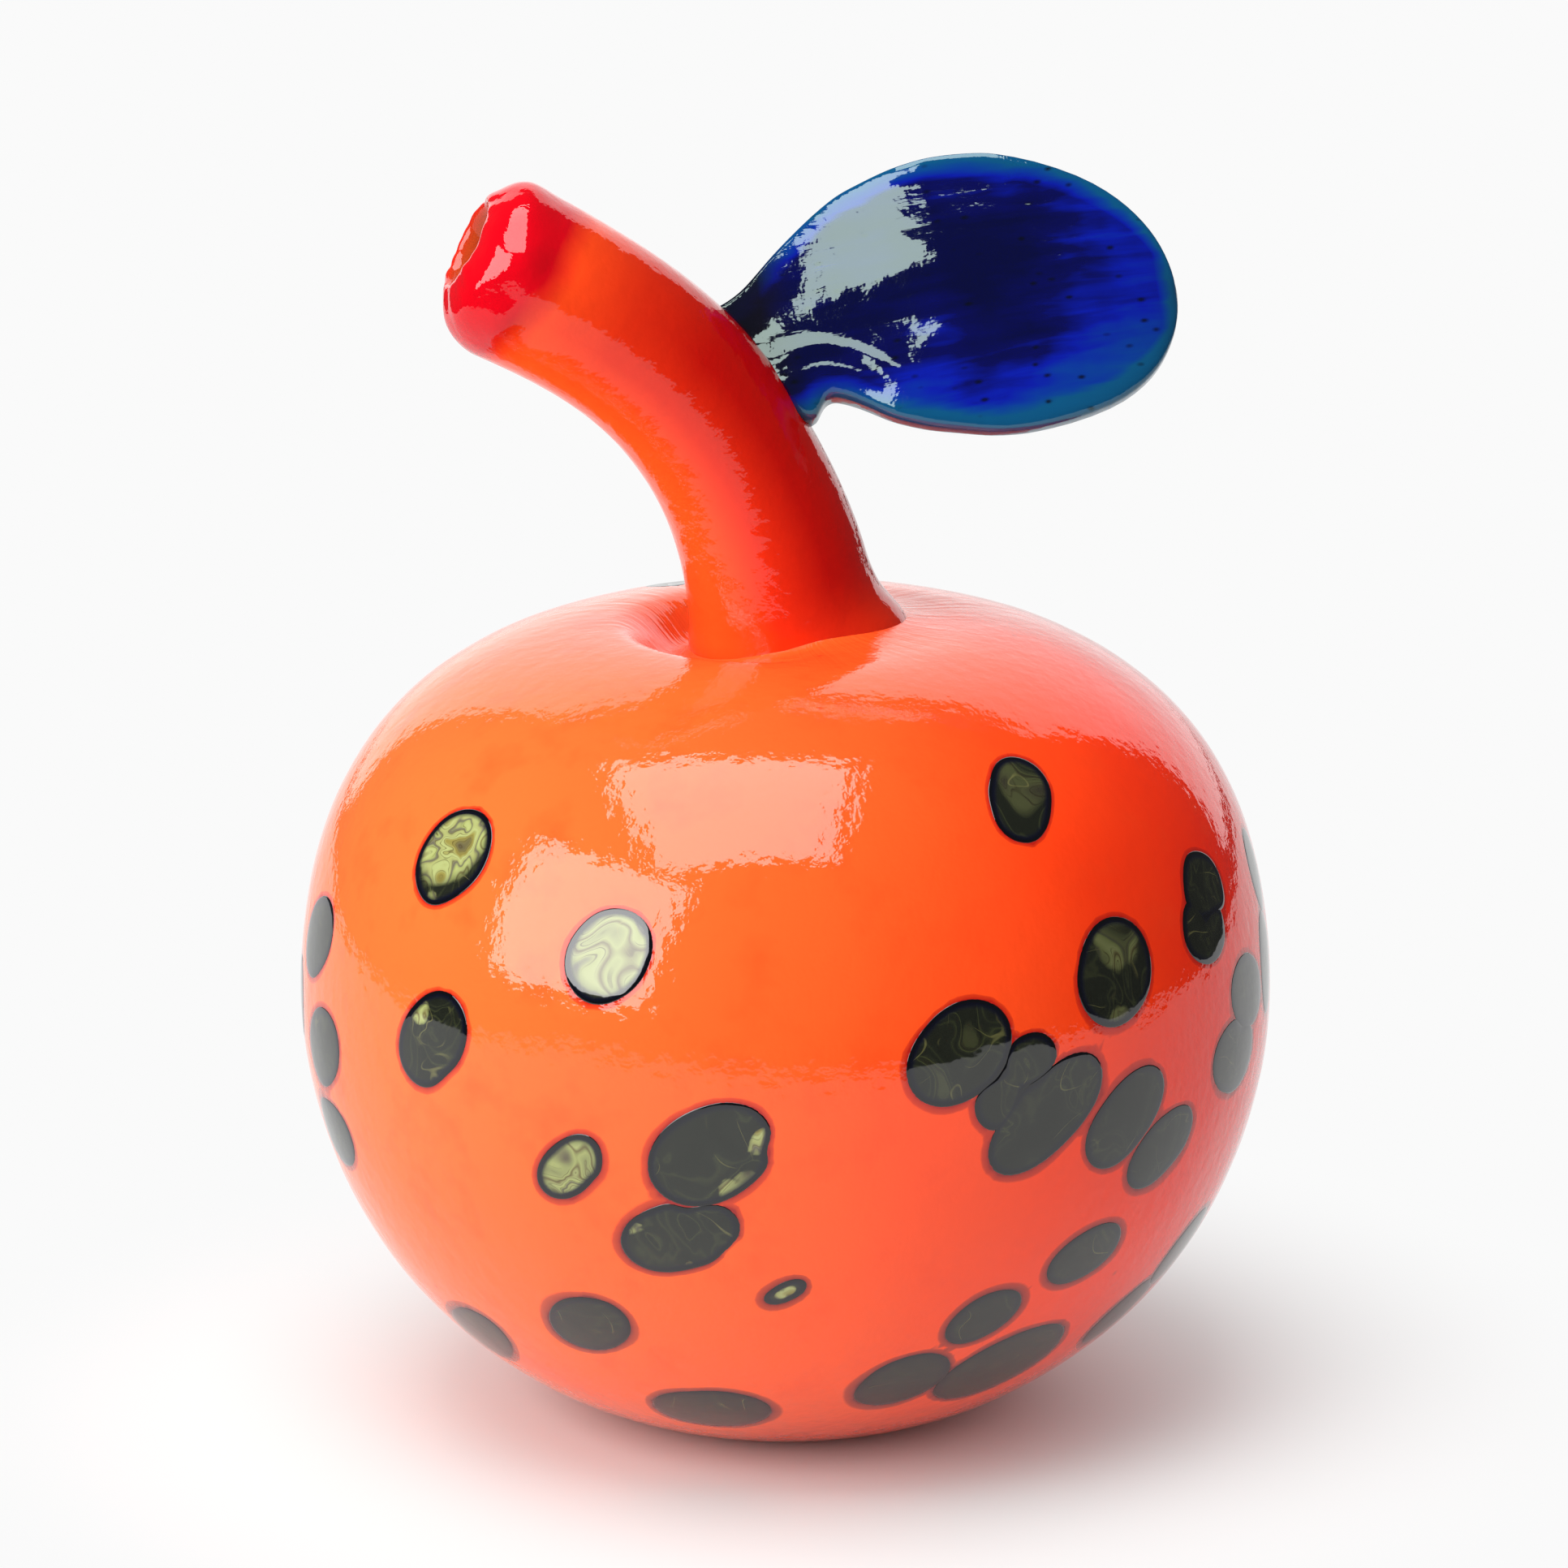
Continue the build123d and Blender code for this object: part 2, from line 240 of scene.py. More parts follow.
# %% Draw the half outline
BODY_RADIUS, BODY_HEIGHT, BELLY_HEIGHT = 75.0, 123.6, 66.7
FOOT_RADIUS, FOOT_SLOPE = 24.0, radians(13.6)
CREST_RADIUS, NECK_RADIUS, VALLEY_RADIUS = 27.0, 15.0, 17.64
DIMPLE_DEPTH, NECK_RISE = 7.4, 3.0
VALLEY_HEIGHT = BODY_HEIGHT - DIMPLE_DEPTH
SEAM_HEIGHT = VALLEY_HEIGHT + NECK_RISE
CASING_WALL = 1.5
# How far each curve is pulled at its ends, as shares of the stretch that it crosses
UNDER_PULL, BELLY_PULL, SHOULDER_PULL, CREST_PULL = 0.416, 0.53, 0.928, 0.146
DIMPLE_PULL, VALLEY_PULL, INSET_PULL = 0.55, 0.3, 0.6


def pulled(start, start_pull, end_pull, end, count):
    """Points along one pull curve of the half outline, as radius and height."""
    flat = [Vector((r, 0, z)) for r, z in (start, start_pull, end_pull, end)]
    return interpolate_bezier(*flat, count)


def dimple_line(inset, count):
    """Half outline of the dimple, from its crest down to the valley round the neck."""
    crest, valley = BODY_HEIGHT - inset, VALLEY_HEIGHT - inset
    width, follow = CREST_RADIUS - VALLEY_RADIUS, INSET_PULL * inset
    return pulled((CREST_RADIUS, crest), (CREST_RADIUS - DIMPLE_PULL * width + follow, crest),
                  (VALLEY_RADIUS + VALLEY_PULL * width + follow, valley), (VALLEY_RADIUS, valley), count)


def body_line(inset, counts):
    """Half outline of the body this far inside its surface, from the foot to the neck seam."""
    radius, crest, valley = BODY_RADIUS - inset, BODY_HEIGHT - inset, VALLEY_HEIGHT - inset
    foot = FOOT_RADIUS - inset / sin(FOOT_SLOPE)
    reach = UNDER_PULL * BODY_RADIUS
    under = (FOOT_RADIUS + reach * cos(FOOT_SLOPE) - inset * sin(FOOT_SLOPE),
             reach * sin(FOOT_SLOPE) + inset * cos(FOOT_SLOPE))
    rise = BODY_HEIGHT - BELLY_HEIGHT
    neck = NECK_RADIUS - inset
    line = pulled((foot, 0), under, (radius, BELLY_PULL * BELLY_HEIGHT), (radius, BELLY_HEIGHT), counts[0])
    line += pulled((radius, BELLY_HEIGHT), (radius, BELLY_HEIGHT + SHOULDER_PULL * rise - inset),
                   (CREST_RADIUS + CREST_PULL * (BODY_RADIUS - CREST_RADIUS), crest),
                   (CREST_RADIUS, crest), counts[1])[1:]
    line += dimple_line(inset, counts[2])[1:]
    line += pulled((VALLEY_RADIUS, valley), ((VALLEY_RADIUS + neck) / 2, valley),
                   (neck, (valley + SEAM_HEIGHT) / 2), (neck, SEAM_HEIGHT), counts[3])[1:]
    return line


outer_line = body_line(0, (70, 70, 26, 8))
inner_line = body_line(CASING_WALL, (14, 16, 6, 3))
print("outline points:", len(outer_line), "outside,", len(inner_line), "inside")

# %% [markdown]
# ## The colour casing
#
# The casing is a layer of orange glass about as thick as a coin over the whole body. We spin the
# closed section once round the axis. Hand work then shows in three ways, which we add as small
# moves of the vertices: the surface is never quite even, the dimple is deep at the left and filled
# up where the stem flows into the shoulder, and the glass is drawn into folds round the neck.

# %% The marks of hand work
# Waves of the skin: spacing and height in millimetres, and where the noise is read
SKIN_WAVES = [(24, 0.16, Vector((0, 0, 0))), (9, 0.05, Vector((7, 3, 1)))]
SKIN_SINK, SKIN_START = 0.14, 6
DIMPLE_SIDE = radians(-100)
FILL_LEAST, FILL_FROM, FILL_TO = 0.25, radians(15), radians(130)
FLARE_RISE, FLARE_REACH = 1.8, 4.5
# How far the casing is tucked in under the stem all round, and how much more in front
TUCK_SIDE, TUCK_FRONT = 1.0, 1.2
FOLD_COUNT, FOLD_HEIGHT = 13, 0.08
# Where the work at the neck begins and is full: radius, height, and radius of the tuck at the stem
NECK_ZONE, TOP_ZONE, TUCK_ZONE = (46, 22), (100, 112), (19, 15.5)
dimple = dimple_line(0, 60)


def smooth_step(low, high, value):
    """Goes from 0 at low to 1 at high, level at both ends."""
    share = min(max((value - low) / (high - low), 0), 1)
    return share * share * (3 - 2 * share)


def turn_between(one, other):
    """Angle from one direction back to the other, by the shorter way round."""
    return (one - other + pi) % (2 * pi) - pi


def dimple_depth(radius):
    """How far the outline lies under the crest at this radius."""
    for high, low in zip(dimple, dimple[1:]):
        if low.x <= radius <= high.x:
            share = (high.x - radius) / (high.x - low.x)
            return BODY_HEIGHT - high.z - share * (low.z - high.z)
    return DIMPLE_DEPTH if radius < VALLEY_RADIUS else 0.0


def hand_work(point):
    """Moves a point of the body's skin, in millimetres, as the tools did on the real one."""
    x, y, z = point
    radius, turn = hypot(x, y), atan2(x, -y)
    out = Vector((x, y, (z - BELLY_HEIGHT) * 1.2)).normalized()
    swell = sum(height * noise.noise(point / size + read) for size, height, read in SKIN_WAVES)
    moved = point + out * (swell - SKIN_SINK) * smooth_step(0, SKIN_START, z)
    near_neck = smooth_step(*NECK_ZONE, radius) * smooth_step(*TOP_ZONE, z)
    if near_neck > 0:
        from_dimple = abs(turn_between(turn, DIMPLE_SIDE))
        filled = FILL_LEAST + (1 - FILL_LEAST) * smooth_step(FILL_FROM, FILL_TO, from_dimple)
        flare = FLARE_RISE * max(0, sin(turn)) * exp(-(radius - NECK_RADIUS) / FLARE_REACH)
        moved.z += filled * (dimple_depth(radius) + flare * near_neck)
        tuck = TUCK_SIDE + TUCK_FRONT * max(0, cos(turn))
        moved -= Vector((x, y, 0)) / radius * filled * tuck * smooth_step(*TUCK_ZONE, radius)
        ring = Vector((cos(turn) * FOLD_COUNT, sin(turn) * FOLD_COUNT, radius / 26))
        folds = noise.noise(ring * 1.7) + 0.6 * noise.noise(ring * 3.1 + Vector((5, 0, 0)))
        moved.z += FOLD_HEIGHT * folds * near_neck * smooth_step(0.5, -0.5, cos(turn))
    return moved


print("dimple:", round(dimple_depth(NECK_RADIUS), 1), "mm deep at the neck")

# %% Spin the casing
BODY_STEPS = 360
bm = bmesh.new()
section = [bm.verts.new(p) for p in outer_line + inner_line[::-1]]
edges = [bm.edges.new((a, b)) for a, b in zip(section, section[1:] + section[:1])]
bmesh.ops.spin(bm, geom=section + edges, axis=(0, 0, 1), angle=2 * pi, steps=BODY_STEPS,
               use_merge=True)
bmesh.ops.remove_doubles(bm, verts=bm.verts, dist=1e-4)
for vert in bm.verts:
    vert.co = hand_work(vert.co) * MM
bmesh.ops.recalc_face_normals(bm, faces=bm.faces)
casing_work = bm
casing_skin = BVHTree.FromBMesh(bm)
print("casing faces:", len(bm.faces))

# %% [markdown]
# ## The lustre chips
#
# Each dark spot is a chip of lustre glass, picked up on the hot body and rolled in until it lies
# almost level with the casing. The CAD chips have the right place and outline, so we read the
# outline of each one as a radius for every direction. A thin lens, spun once, is then stretched
# to that outline with a slight wobble and laid on the casing by casting a ray for each vertex.
# Two short lists hold what is special on single chips: where gold shows, partly the lustre's own gold and
# partly painted reflection of the soft box, and dents in the edge.

# %% Read an outline from a CAD chip
CHIP_DIRECTIONS = 64


def chip_outline(node):
    """Middle, outward direction, east and north of a CAD chip, and its radius each way round."""
    points = [v.co.copy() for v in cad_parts[node].data.vertices]
    low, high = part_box(node)
    outward = ((Vector(low) + Vector(high)) / 2 - BODY_MIDDLE).normalized()
    east = Vector((0, 0, 1)).cross(outward).normalized()
    north = outward.cross(east)
    flat = [(p.dot(east), p.dot(north)) for p in points]
    mid_e = (min(e for e, n in flat) + max(e for e, n in flat)) / 2
    mid_n = (min(n for e, n in flat) + max(n for e, n in flat)) / 2
    reach = [0.0] * CHIP_DIRECTIONS
    for e, n in flat:
        way = round(atan2(n - mid_n, e - mid_e) / (2 * pi) * CHIP_DIRECTIONS) % CHIP_DIRECTIONS
        reach[way] = max(reach[way], hypot(e - mid_e, n - mid_n))
    for way in range(CHIP_DIRECTIONS):
        if reach[way] == 0:
            reach[way] = max(reach[way - 1], reach[(way + 1) % CHIP_DIRECTIONS])
    for fill_round in range(3):
        reach = [max(reach[k], (reach[k - 1] + reach[(k + 1) % CHIP_DIRECTIONS]) / 2)
                 for k in range(CHIP_DIRECTIONS)]
    for smooth_round in range(2):
        reach = [(reach[k - 1] + 2 * reach[k] + reach[(k + 1) % CHIP_DIRECTIONS]) / 4
                 for k in range(CHIP_DIRECTIONS)]
    depth = sum(p.dot(outward) for p in points) / len(points)
    return east * mid_e + north * mid_n + outward * depth, outward, east, north, reach


chip_nodes = sorted(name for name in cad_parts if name.startswith("lustre_chip"))
chip_outlines = {node: chip_outline(node) for node in chip_nodes}
print("chip outlines:", len(chip_outlines))

# %% A helper that hands a finished mesh over
def finish_piece(bm, name, node):
    """Makes an object of the mesh, hangs it under the root and hides the CAD node that it stands for."""
    mesh = bpy.data.meshes.new(name)
    bm.to_mesh(mesh)
    bm.free()
    mesh.shade_smooth()
    piece = bpy.data.objects.new(name, mesh)
    scene.collection.objects.link(piece)
    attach(piece, "root")
    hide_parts(node)
    return piece


print("pieces to hand over:", len(chip_nodes), "chips, a casing, a stem and a leaf")

# %% Gold and dents of single chips
# Gold in a chip, partly its own lustre and partly painted reflection of the soft box: degrees round from
# its right side, share of the way out, spread and strength
GOLD_AND_REFLECTION = {
    1: [(115, 0.35, 0.9, 1.0), (-100, 0.9, 0.16, 0.6)],
    2: [(60, 0.15, 0.95, 0.72)],
    3: [(125, 0.75, 0.3, 0.9)],
    8: [(0, 0.0, 0.8, 0.8)],
    9: [(18, 0.85, 0.2, 0.9), (-60, 0.85, 0.25, 0.8), (-35, 0.85, 0.2, 0.6)],
    10: [(170, 0.85, 0.16, 0.6), (-75, 0.85, 0.16, 0.6)],
    11: [(0, 0.0, 0.5, 0.9)],
    15: [(60, 0.3, 0.7, 0.24)],
    16: [(80, 0.62, 0.62, 0.38), (-95, 0.9, 0.3, 0.34)],
    21: [(220, 0.2, 0.7, 0.2)]}
# Dents in an outline: degrees round, depth as a share of the radius, spread in degrees
DENTS = {
    1: [(-100, -0.04, 22)],
    3: [(-55, 0.1, 30), (-125, 0.05, 25)],
    9: [(8, 0.1, 12), (-2, -0.03, 30)],
    10: [(-15, 0.07, 18)],
    15: [(-120, 0.04, 20)],
    17: [(-43, -0.16, 22), (-152, -0.3, 34)],
    18: [(34, -0.18, 22), (125, -0.12, 24)],
    22: [(135, -0.1, 20)],
    24: [(-140, 0.12, 40), (20, -0.05, 40)]}
CHIP_FIT = 0.985


def chip_radius(number, reach, wobble, way):
    """Radius of a chip this way round: its CAD outline with a slight wobble and its dents."""
    step = way / (2 * pi) * CHIP_DIRECTIONS
    before = int(step // 1)
    radius = (reach[before % CHIP_DIRECTIONS] * (1 - step % 1)
              + reach[(before + 1) % CHIP_DIRECTIONS] * (step % 1))
    radius *= CHIP_FIT + sum(size * sin(k * way + shift) for k, size, shift in wobble)
    for degrees_round, depth, spread in DENTS.get(number, []):
        turn = turn_between(way, radians(degrees_round))
        radius *= 1 - depth * exp(-(turn / radians(spread)) ** 2)
    return radius


def chip_gold_and_reflection(number, share, way):
    """How much gold a chip shows at this share of the way out, this way round, from 0 to 1: partly its own
    lustre, partly painted reflection of the soft box.
    """
    most = 0.0
    for degrees_round, out, spread, strength in GOLD_AND_REFLECTION.get(number, []):
        gap = hypot(share * cos(way) - out * cos(radians(degrees_round)),
                    share * sin(way) - out * sin(radians(degrees_round)))
        most = max(most, strength * smooth_step(1.25 * spread, 0.75 * spread, gap))
    return most


print("chips with gold:", len(GOLD_AND_REFLECTION), "and with dents:", len(DENTS))

# %% Lay the chips on the casing
# Section of a chip: share of the way out to its rim, and millimetres above the casing
LENS = [(0.1 * k, 0.06) for k in range(8)] + [
    (0.78, 0.056), (0.85, 0.051), (0.92, 0.04), (0.97, 0.02), (1.0, -0.006), (0.995, -0.3),
    (0.9, -0.8), (0, -0.8)]
RAY_START = 30 * MM
chips = []
rim_points = []
for number, node in enumerate(chip_nodes, 1):
    middle, outward, east, north, reach = chip_outlines[node]
    dice = random.Random(number)
    wobble = [(k, dice.uniform(0.008, 0.03) / (k - 1), dice.uniform(0, 2 * pi)) for k in (2, 3, 5)]
    bm = bmesh.new()
    rim_layer = bm.verts.layers.float.new("rim")
    gold_and_reflection_layer = bm.verts.layers.float.new("gold")
    section = [bm.verts.new((share, 0, height)) for share, height in LENS]
    edges = [bm.edges.new(pair) for pair in zip(section, section[1:])]
    bmesh.ops.spin(bm, geom=section + edges, axis=(0, 0, 1), angle=2 * pi, steps=CHIP_DIRECTIONS,
                   use_merge=True)
    bmesh.ops.remove_doubles(bm, verts=bm.verts, dist=1e-5)
    for vert in bm.verts:
        share, height = hypot(vert.co.x, vert.co.y), vert.co.z
        way = atan2(vert.co.y, vert.co.x)
        radius = chip_radius(number, reach, wobble, way)
        across = cos(way) * east + sin(way) * north
        start = middle + share * radius * across + outward * RAY_START
        spot, normal = casing_skin.ray_cast(start, -outward)[:2]
        vert.co = spot + normal * height * MM
        vert[rim_layer] = (1 - share) * radius / MM
        # Gold here is partly the lustre's own colour and partly painted reflection of the soft box.
        vert[gold_and_reflection_layer] = chip_gold_and_reflection(number, share, way)
        if share > 0.999:
            rim_points.append((vert.co.copy(), across))
    bmesh.ops.recalc_face_normals(bm, faces=bm.faces)
    chips.append(finish_piece(bm, f"lustre_spot_{number:02d}", node))
print("chips laid:", len(chips))

# %% [markdown]
# ## The halo round each chip
#
# Where the dark glass has bled into the orange, each chip has a soft dark red edge. The casing's
# material needs to know how far every point is from the nearest rim, so we store that distance on
# the vertices, in millimetres and below zero under a chip. A search tree finds the rim quickly.

# %% Store the halo and finish the casing
rim_tree = KDTree(len(rim_points))
for number, (point, across) in enumerate(rim_points):
    rim_tree.insert(point, number)
rim_tree.balance()
halo_layer = casing_work.verts.layers.float.new("halo")
for vert in casing_work.verts:
    point, number, gap = rim_tree.find(vert.co)
    vert[halo_layer] = copysign(gap / MM, (vert.co - point).dot(rim_points[number][1]))
casing = finish_piece(casing_work, "orange_casing", "colour_casing")
print("casing triangles:", 2 * len(casing.data.polygons))

# %% [markdown]
# ## The stem
#
# The stem was pulled from a hollow gather, bent over while soft and cut off hot. So its base
# flares out on the right, where it flows into the shoulder, its rim is rounded and lumpy, and its
# mouth is small and a little slanted. We start from a ring of edges on the neck and extrude it
# ring by ring along the centre line, round the rim and back down the bore, and then bridge the two
# ends. The centre line is two pull curves, and a station list gives the radius on the way.

# %% The stem's centre line
STEM_TURN = radians(12)
stem_out = Vector((cos(STEM_TURN), sin(STEM_TURN), 0))
stem_back = Vector((-sin(STEM_TURN), cos(STEM_TURN), 0))
STEM_CURVES = [((0, SEAM_HEIGHT), (0, 133.1), (-5.96, 148.2), (-14.52, 159.1)),
               ((-14.52, 159.1), (-23.4, 170.4), (-36.7, 176.8), (-49.4, 183.6))]
centre_line = []
for curve in STEM_CURVES:
    flat = pulled(*curve, 60)[len(centre_line) > 0:]
    centre_line += [stem_out * p.x + Vector((0, 0, p.z)) for p in flat]
travelled = [0.0]
for a, b in zip(centre_line, centre_line[1:]):
    travelled.append(travelled[-1] + (b - a).length)
STEM_LENGTH = travelled[-1]


def on_stem(along):
    """Point on the stem's centre line this many millimetres from the neck, and the way onward."""
    k = max(1, min(len(centre_line) - 2, sum(t < along for t in travelled)))
    onward = (centre_line[k + 1] - centre_line[k - 1]).normalized()
    return centre_line[k] + onward * (along - travelled[k]), onward


def through(stations, place):
    """Smooth value at a place between stations, each with its place first and its values after."""
    k = max(0, min(len(stations) - 2, sum(s[0] <= place for s in stations) - 1))
    a, b = stations[k], stations[k + 1]
    before, after = stations[max(k - 1, 0)], stations[min(k + 2, len(stations) - 1)]
    span = b[0] - a[0]
    t = (place - a[0]) / span
    values = []
    for column in range(1, len(a)):
        slope_a = (b[column] - before[column]) / max(b[0] - before[0], 1e-6) * span
        slope_b = (after[column] - a[column]) / max(after[0] - a[0], 1e-6) * span
        values.append((2 * t ** 3 - 3 * t ** 2 + 1) * a[column] + (t ** 3 - 2 * t ** 2 + t) * slope_a
                      + (3 * t ** 2 - 2 * t ** 3) * b[column] + (t ** 3 - t ** 2) * slope_b)
    return values


print("stem length:", round(STEM_LENGTH, 1), "mm")

# %% Lumps, flare and mouth of the stem
TIP_TRIM = 1.0
RIM_PLACE = STEM_LENGTH - TIP_TRIM
# Lumps near the rim: millimetres from the rim, degrees round the stem from its top, height, spread
LUMPS = [(5.5, -75, 0.5, 2.4), (5, -100, -0.45, 2.2), (6.5, -122, 0.45, 2.2), (10, -88, 0.35, 2.4),
         (10.5, -66, -0.4, 2.6), (11, -112, -0.35, 2.4), (14, -95, 0.2, 3), (2.5, -60, -0.4, 2.2),
         (2.5, -112, -0.4, 2.0), (2, 20, -0.5, 3), (6, 60, 0.4, 5), (3, 150, -0.4, 4),
         (20, -85, 0.15, 5)]
LUMP_RADIUS = 12
# Flare at the base: height, and millimetres from the neck where it starts and where it is full
FLARES = [(2.4, 12, 2), (2.2, 8, 3)]
LIP_HEIGHT, RIM_WAVE, MOUTH_WAVE = 1.2, 0.6, 0.25
RIM_SLANT, MOUTH_UP, MOUTH_BACK = 0.07, 0.9, 1.6
# Where they begin and are full: millimetres from the rim for lip and rim, radius for the mouth
LIP_ZONE, RIM_FADE, MOUTH_ZONE = (8, 3), (8, 0), (11, 7)


def stem_point(from_rim, round_it, radius, lumpy):
    """Point of the stem this far behind its rim, in this direction round it, at this radius."""
    along = RIM_PLACE - from_rim
    centre, onward = on_stem(along)
    top = stem_back.cross(onward)
    upper = max(0, cos(round_it))
    for lump_from_rim, degrees_round, height, spread in LUMPS:
        turn = turn_between(round_it, radians(degrees_round))
        gap = hypot(from_rim - lump_from_rim, turn * LUMP_RADIUS)
        radius += lumpy * height * exp(-(gap / spread) ** 2)
    for height, start, full in FLARES:
        radius += lumpy * height * smooth_step(start, full, along) * upper ** 2
    radius += lumpy * LIP_HEIGHT * smooth_step(*LIP_ZONE, from_rim) * upper
    wave = noise.noise(Vector((cos(round_it) * 1.6, sin(round_it) * 1.6, 4)))
    wave += 0.5 * noise.noise(Vector((cos(round_it) * 4, sin(round_it) * 4, 9)))
    near_rim = smooth_step(*RIM_FADE, from_rim)
    lift = near_rim * smooth_step(*MOUTH_ZONE, radius)
    across = top * cos(round_it) + stem_back * sin(round_it)
    slant = -RIM_SLANT * radius * sin(round_it)
    point = centre + across * (radius + MOUTH_WAVE * wave * lift)
    point += onward * (RIM_WAVE * wave + slant) * near_rim
    return point + (top * MOUTH_UP + stem_back * MOUTH_BACK) * lift


print("rim of the stem:", round(RIM_PLACE, 1), "mm from the neck")

# %% The rings of the stem
# Station: millimetres from the neck, and radius
STEM_OUTSIDE = [(0, 15.0), (12.8, 14.1), (30.2, 13.0), (47, 12.9), (64.5, 13.0), (78, 13.45), (86, 13.7)]
STEM_BORE = [(0, 9.5), (30, 8.0), (60, 8.0), (74, 7.6), (80, 6.6), (86, 6.2)]
# Ring of the rim: millimetres from the rim, radius, share of the lumps, share of the bore's colour
RIM_RINGS = [
    (7.2, 13.45, 1, 0), (6, 13.25, 1, 0), (4.9, 12.95, 1, 0), (3.9, 12.55, 1, 0), (3, 12.05, 1, 0),
    (2.1, 11.4, 1, 0), (1.3, 10.6, 0.9, 0), (0.6, 9.65, 0.8, 0), (0.05, 8.7, 0.6, 0),
    (-0.3, 7.85, 0.4, 0), (-0.4, 7.3, 0.2, 0.1), (-0.25, 6.85, 0.1, 0.4), (0.25, 6.5, 0, 0.7),
    (1.2, 6.25, 0, 1), (2.6, 6.2, 0, 1)]
TIP_LENGTH, TIP_STEP, BORE_START = 16, 1.1, 4.6
outside_places = [(RIM_PLACE - TIP_LENGTH) * k / 36 for k in range(36)]
outside_places += [RIM_PLACE - TIP_LENGTH + TIP_STEP * k for k in range(8)]
bore_places = [RIM_PLACE * (1 - k / 16) - BORE_START for k in range(15)] + [0.0]
rings = [(RIM_PLACE - along, through(STEM_OUTSIDE, along)[0], 1, 0) for along in outside_places]
rings += RIM_RINGS
rings += [(RIM_PLACE - along, through(STEM_BORE, along)[0], 0, 1) for along in bore_places]
print("rings of the stem:", len(rings))

# %% Extrude the stem
STEM_SIDES = 96


def next_ring(bm, edges):
    """Extrudes a ring of edges, and gives the new ring's vertices and edges."""
    made = bmesh.ops.extrude_edge_only(bm, edges=edges)["geom"]
    verts = [part for part in made if isinstance(part, bmesh.types.BMVert)]
    return verts, [part for part in made if isinstance(part, bmesh.types.BMEdge)]


bm = bmesh.new()
round_layer = bm.verts.layers.float.new("round")
rim_layer = bm.verts.layers.float.new("rim")
inside_layer = bm.verts.layers.float.new("inside")
outer_layer = bm.verts.layers.float.new("outer")
ring = bmesh.ops.create_circle(bm, segments=STEM_SIDES, radius=1)["verts"]
for vert in ring:
    vert[round_layer] = atan2(vert.co.y, vert.co.x)
edges = list(bm.edges)
first_edges = edges
for number, (from_rim, radius, lumpy, inside) in enumerate(rings):
    if number:
        ring, edges = next_ring(bm, edges)
    for vert in ring:
        vert.co = stem_point(from_rim, vert[round_layer], radius, lumpy) * MM
        vert[rim_layer] = from_rim
        vert[inside_layer] = inside
        vert[outer_layer] = cos(vert[round_layer])
bmesh.ops.bridge_loops(bm, edges=first_edges + edges)
bmesh.ops.recalc_face_normals(bm, faces=bm.faces)
stem = finish_piece(bm, "bent_stem", "stem")
smoothing = stem.modifiers.new("smoothing", "SUBSURF")
smoothing.levels = smoothing.render_levels = 1
print("stem faces:", len(stem.data.polygons))

# %% [markdown]
# ## The leaf
#
# A blob of blue glass was dropped on the stem, drawn out and pressed flat with a paddle. That
# leaves a thick neck, a blunt edge and a blade that bows a little towards the front. The lower
# half has a fold: it stands forward at the neck and falls back along the blade, and two ridges run
# out from the neck. The leaf grows the same way as the stem: a rounded ring starts inside the
# stem's wall and is extruded through stations that give the middle, the width, the thickness and
# the slant of each ring. In the half near the neck, rings are added between the stations, because
# the ridges are narrow.

# %% The leaf's place and stations
LEAF_LEAN, LEAF_CLIMB = radians(27), radians(8)
# Where it is stuck on: share of the stem's length, and millimetres out from the middle and down
LEAF_SHARE, LEAF_OUT, LEAF_DOWN = 0.49, 13.0, 2.6
leaf_x = Vector((cos(LEAF_CLIMB), sin(LEAF_CLIMB) * sin(LEAF_LEAN), sin(LEAF_CLIMB) * cos(LEAF_LEAN)))
leaf_z = Vector((0, -cos(LEAF_LEAN), sin(LEAF_LEAN)))
leaf_y = leaf_z.cross(leaf_x)
centre, onward = on_stem(LEAF_SHARE * STEM_LENGTH)
LEAF_FOOT = centre + stem_back.cross(onward) * LEAF_OUT - leaf_y * LEAF_DOWN
# Station: way along the leaf, middle, half width, half thickness, forward, slant, in millimetres
LEAF_STATIONS = [
    (-2.5, 0.4, 9.6, 4.1, -5.2, -0.6), (0.5, 0.8, 9.8, 4.0, -4.5, -0.6),
    (3.6, 3.2, 9.6, 3.9, -3.65, -0.5), (7.5, 5.7, 12.0, 3.7, -2.45, -0.25),
    (14, 7.4, 16.2, 3.45, -0.05, -0.05), (18, 7.1, 18.1, 3.3, 1.5, 0), (22, 6.65, 19.5, 3.25, 2.85, 0),
    (25, 6.35, 20.25, 3.2, 3.75, 0), (28.5, 6.0, 20.85, 3.15, 4.6, 0), (33, 5.4, 21.35, 3.1, 4.95, 0),
    (38.6, 4.85, 21.25, 3.05, 4.85, 0), (44.3, 4.15, 20.2, 3.0, 4.6, 0),
    (50.9, 3.3, 17.85, 2.9, 4.25, 0), (54.8, 2.8, 15.4, 2.75, 4.0, 0), (57.5, 2.45, 13.05, 2.55, 3.85, 0),
    (59.5, 2.2, 10.6, 2.3, 3.75, 0), (61, 2.1, 8.2, 1.9, 3.65, 0), (62.1, 1.9, 5.7, 1.4, 3.55, 0),
    (62.8, 1.85, 3.1, 0.8, 3.5, 0)]
LEAF_TIP = Vector((63.1, 1.8, 3.5))
print("leaf length:", round(LEAF_TIP.x, 1), "mm")

# %% The shape of the blade
# Waves: height, spacing along and across the blade, and the layer of noise that is read
BLADE_WAVES = [(0.3, 15, 24, 3), (0.06, 5, 9, 8)]
DRAWN_HEIGHT, LEAF_FOLD, FOLD_LEVEL, EDGE_RISE, LOW_DROP = 0.12, 3.4, 0.62, 0.35, 0.6
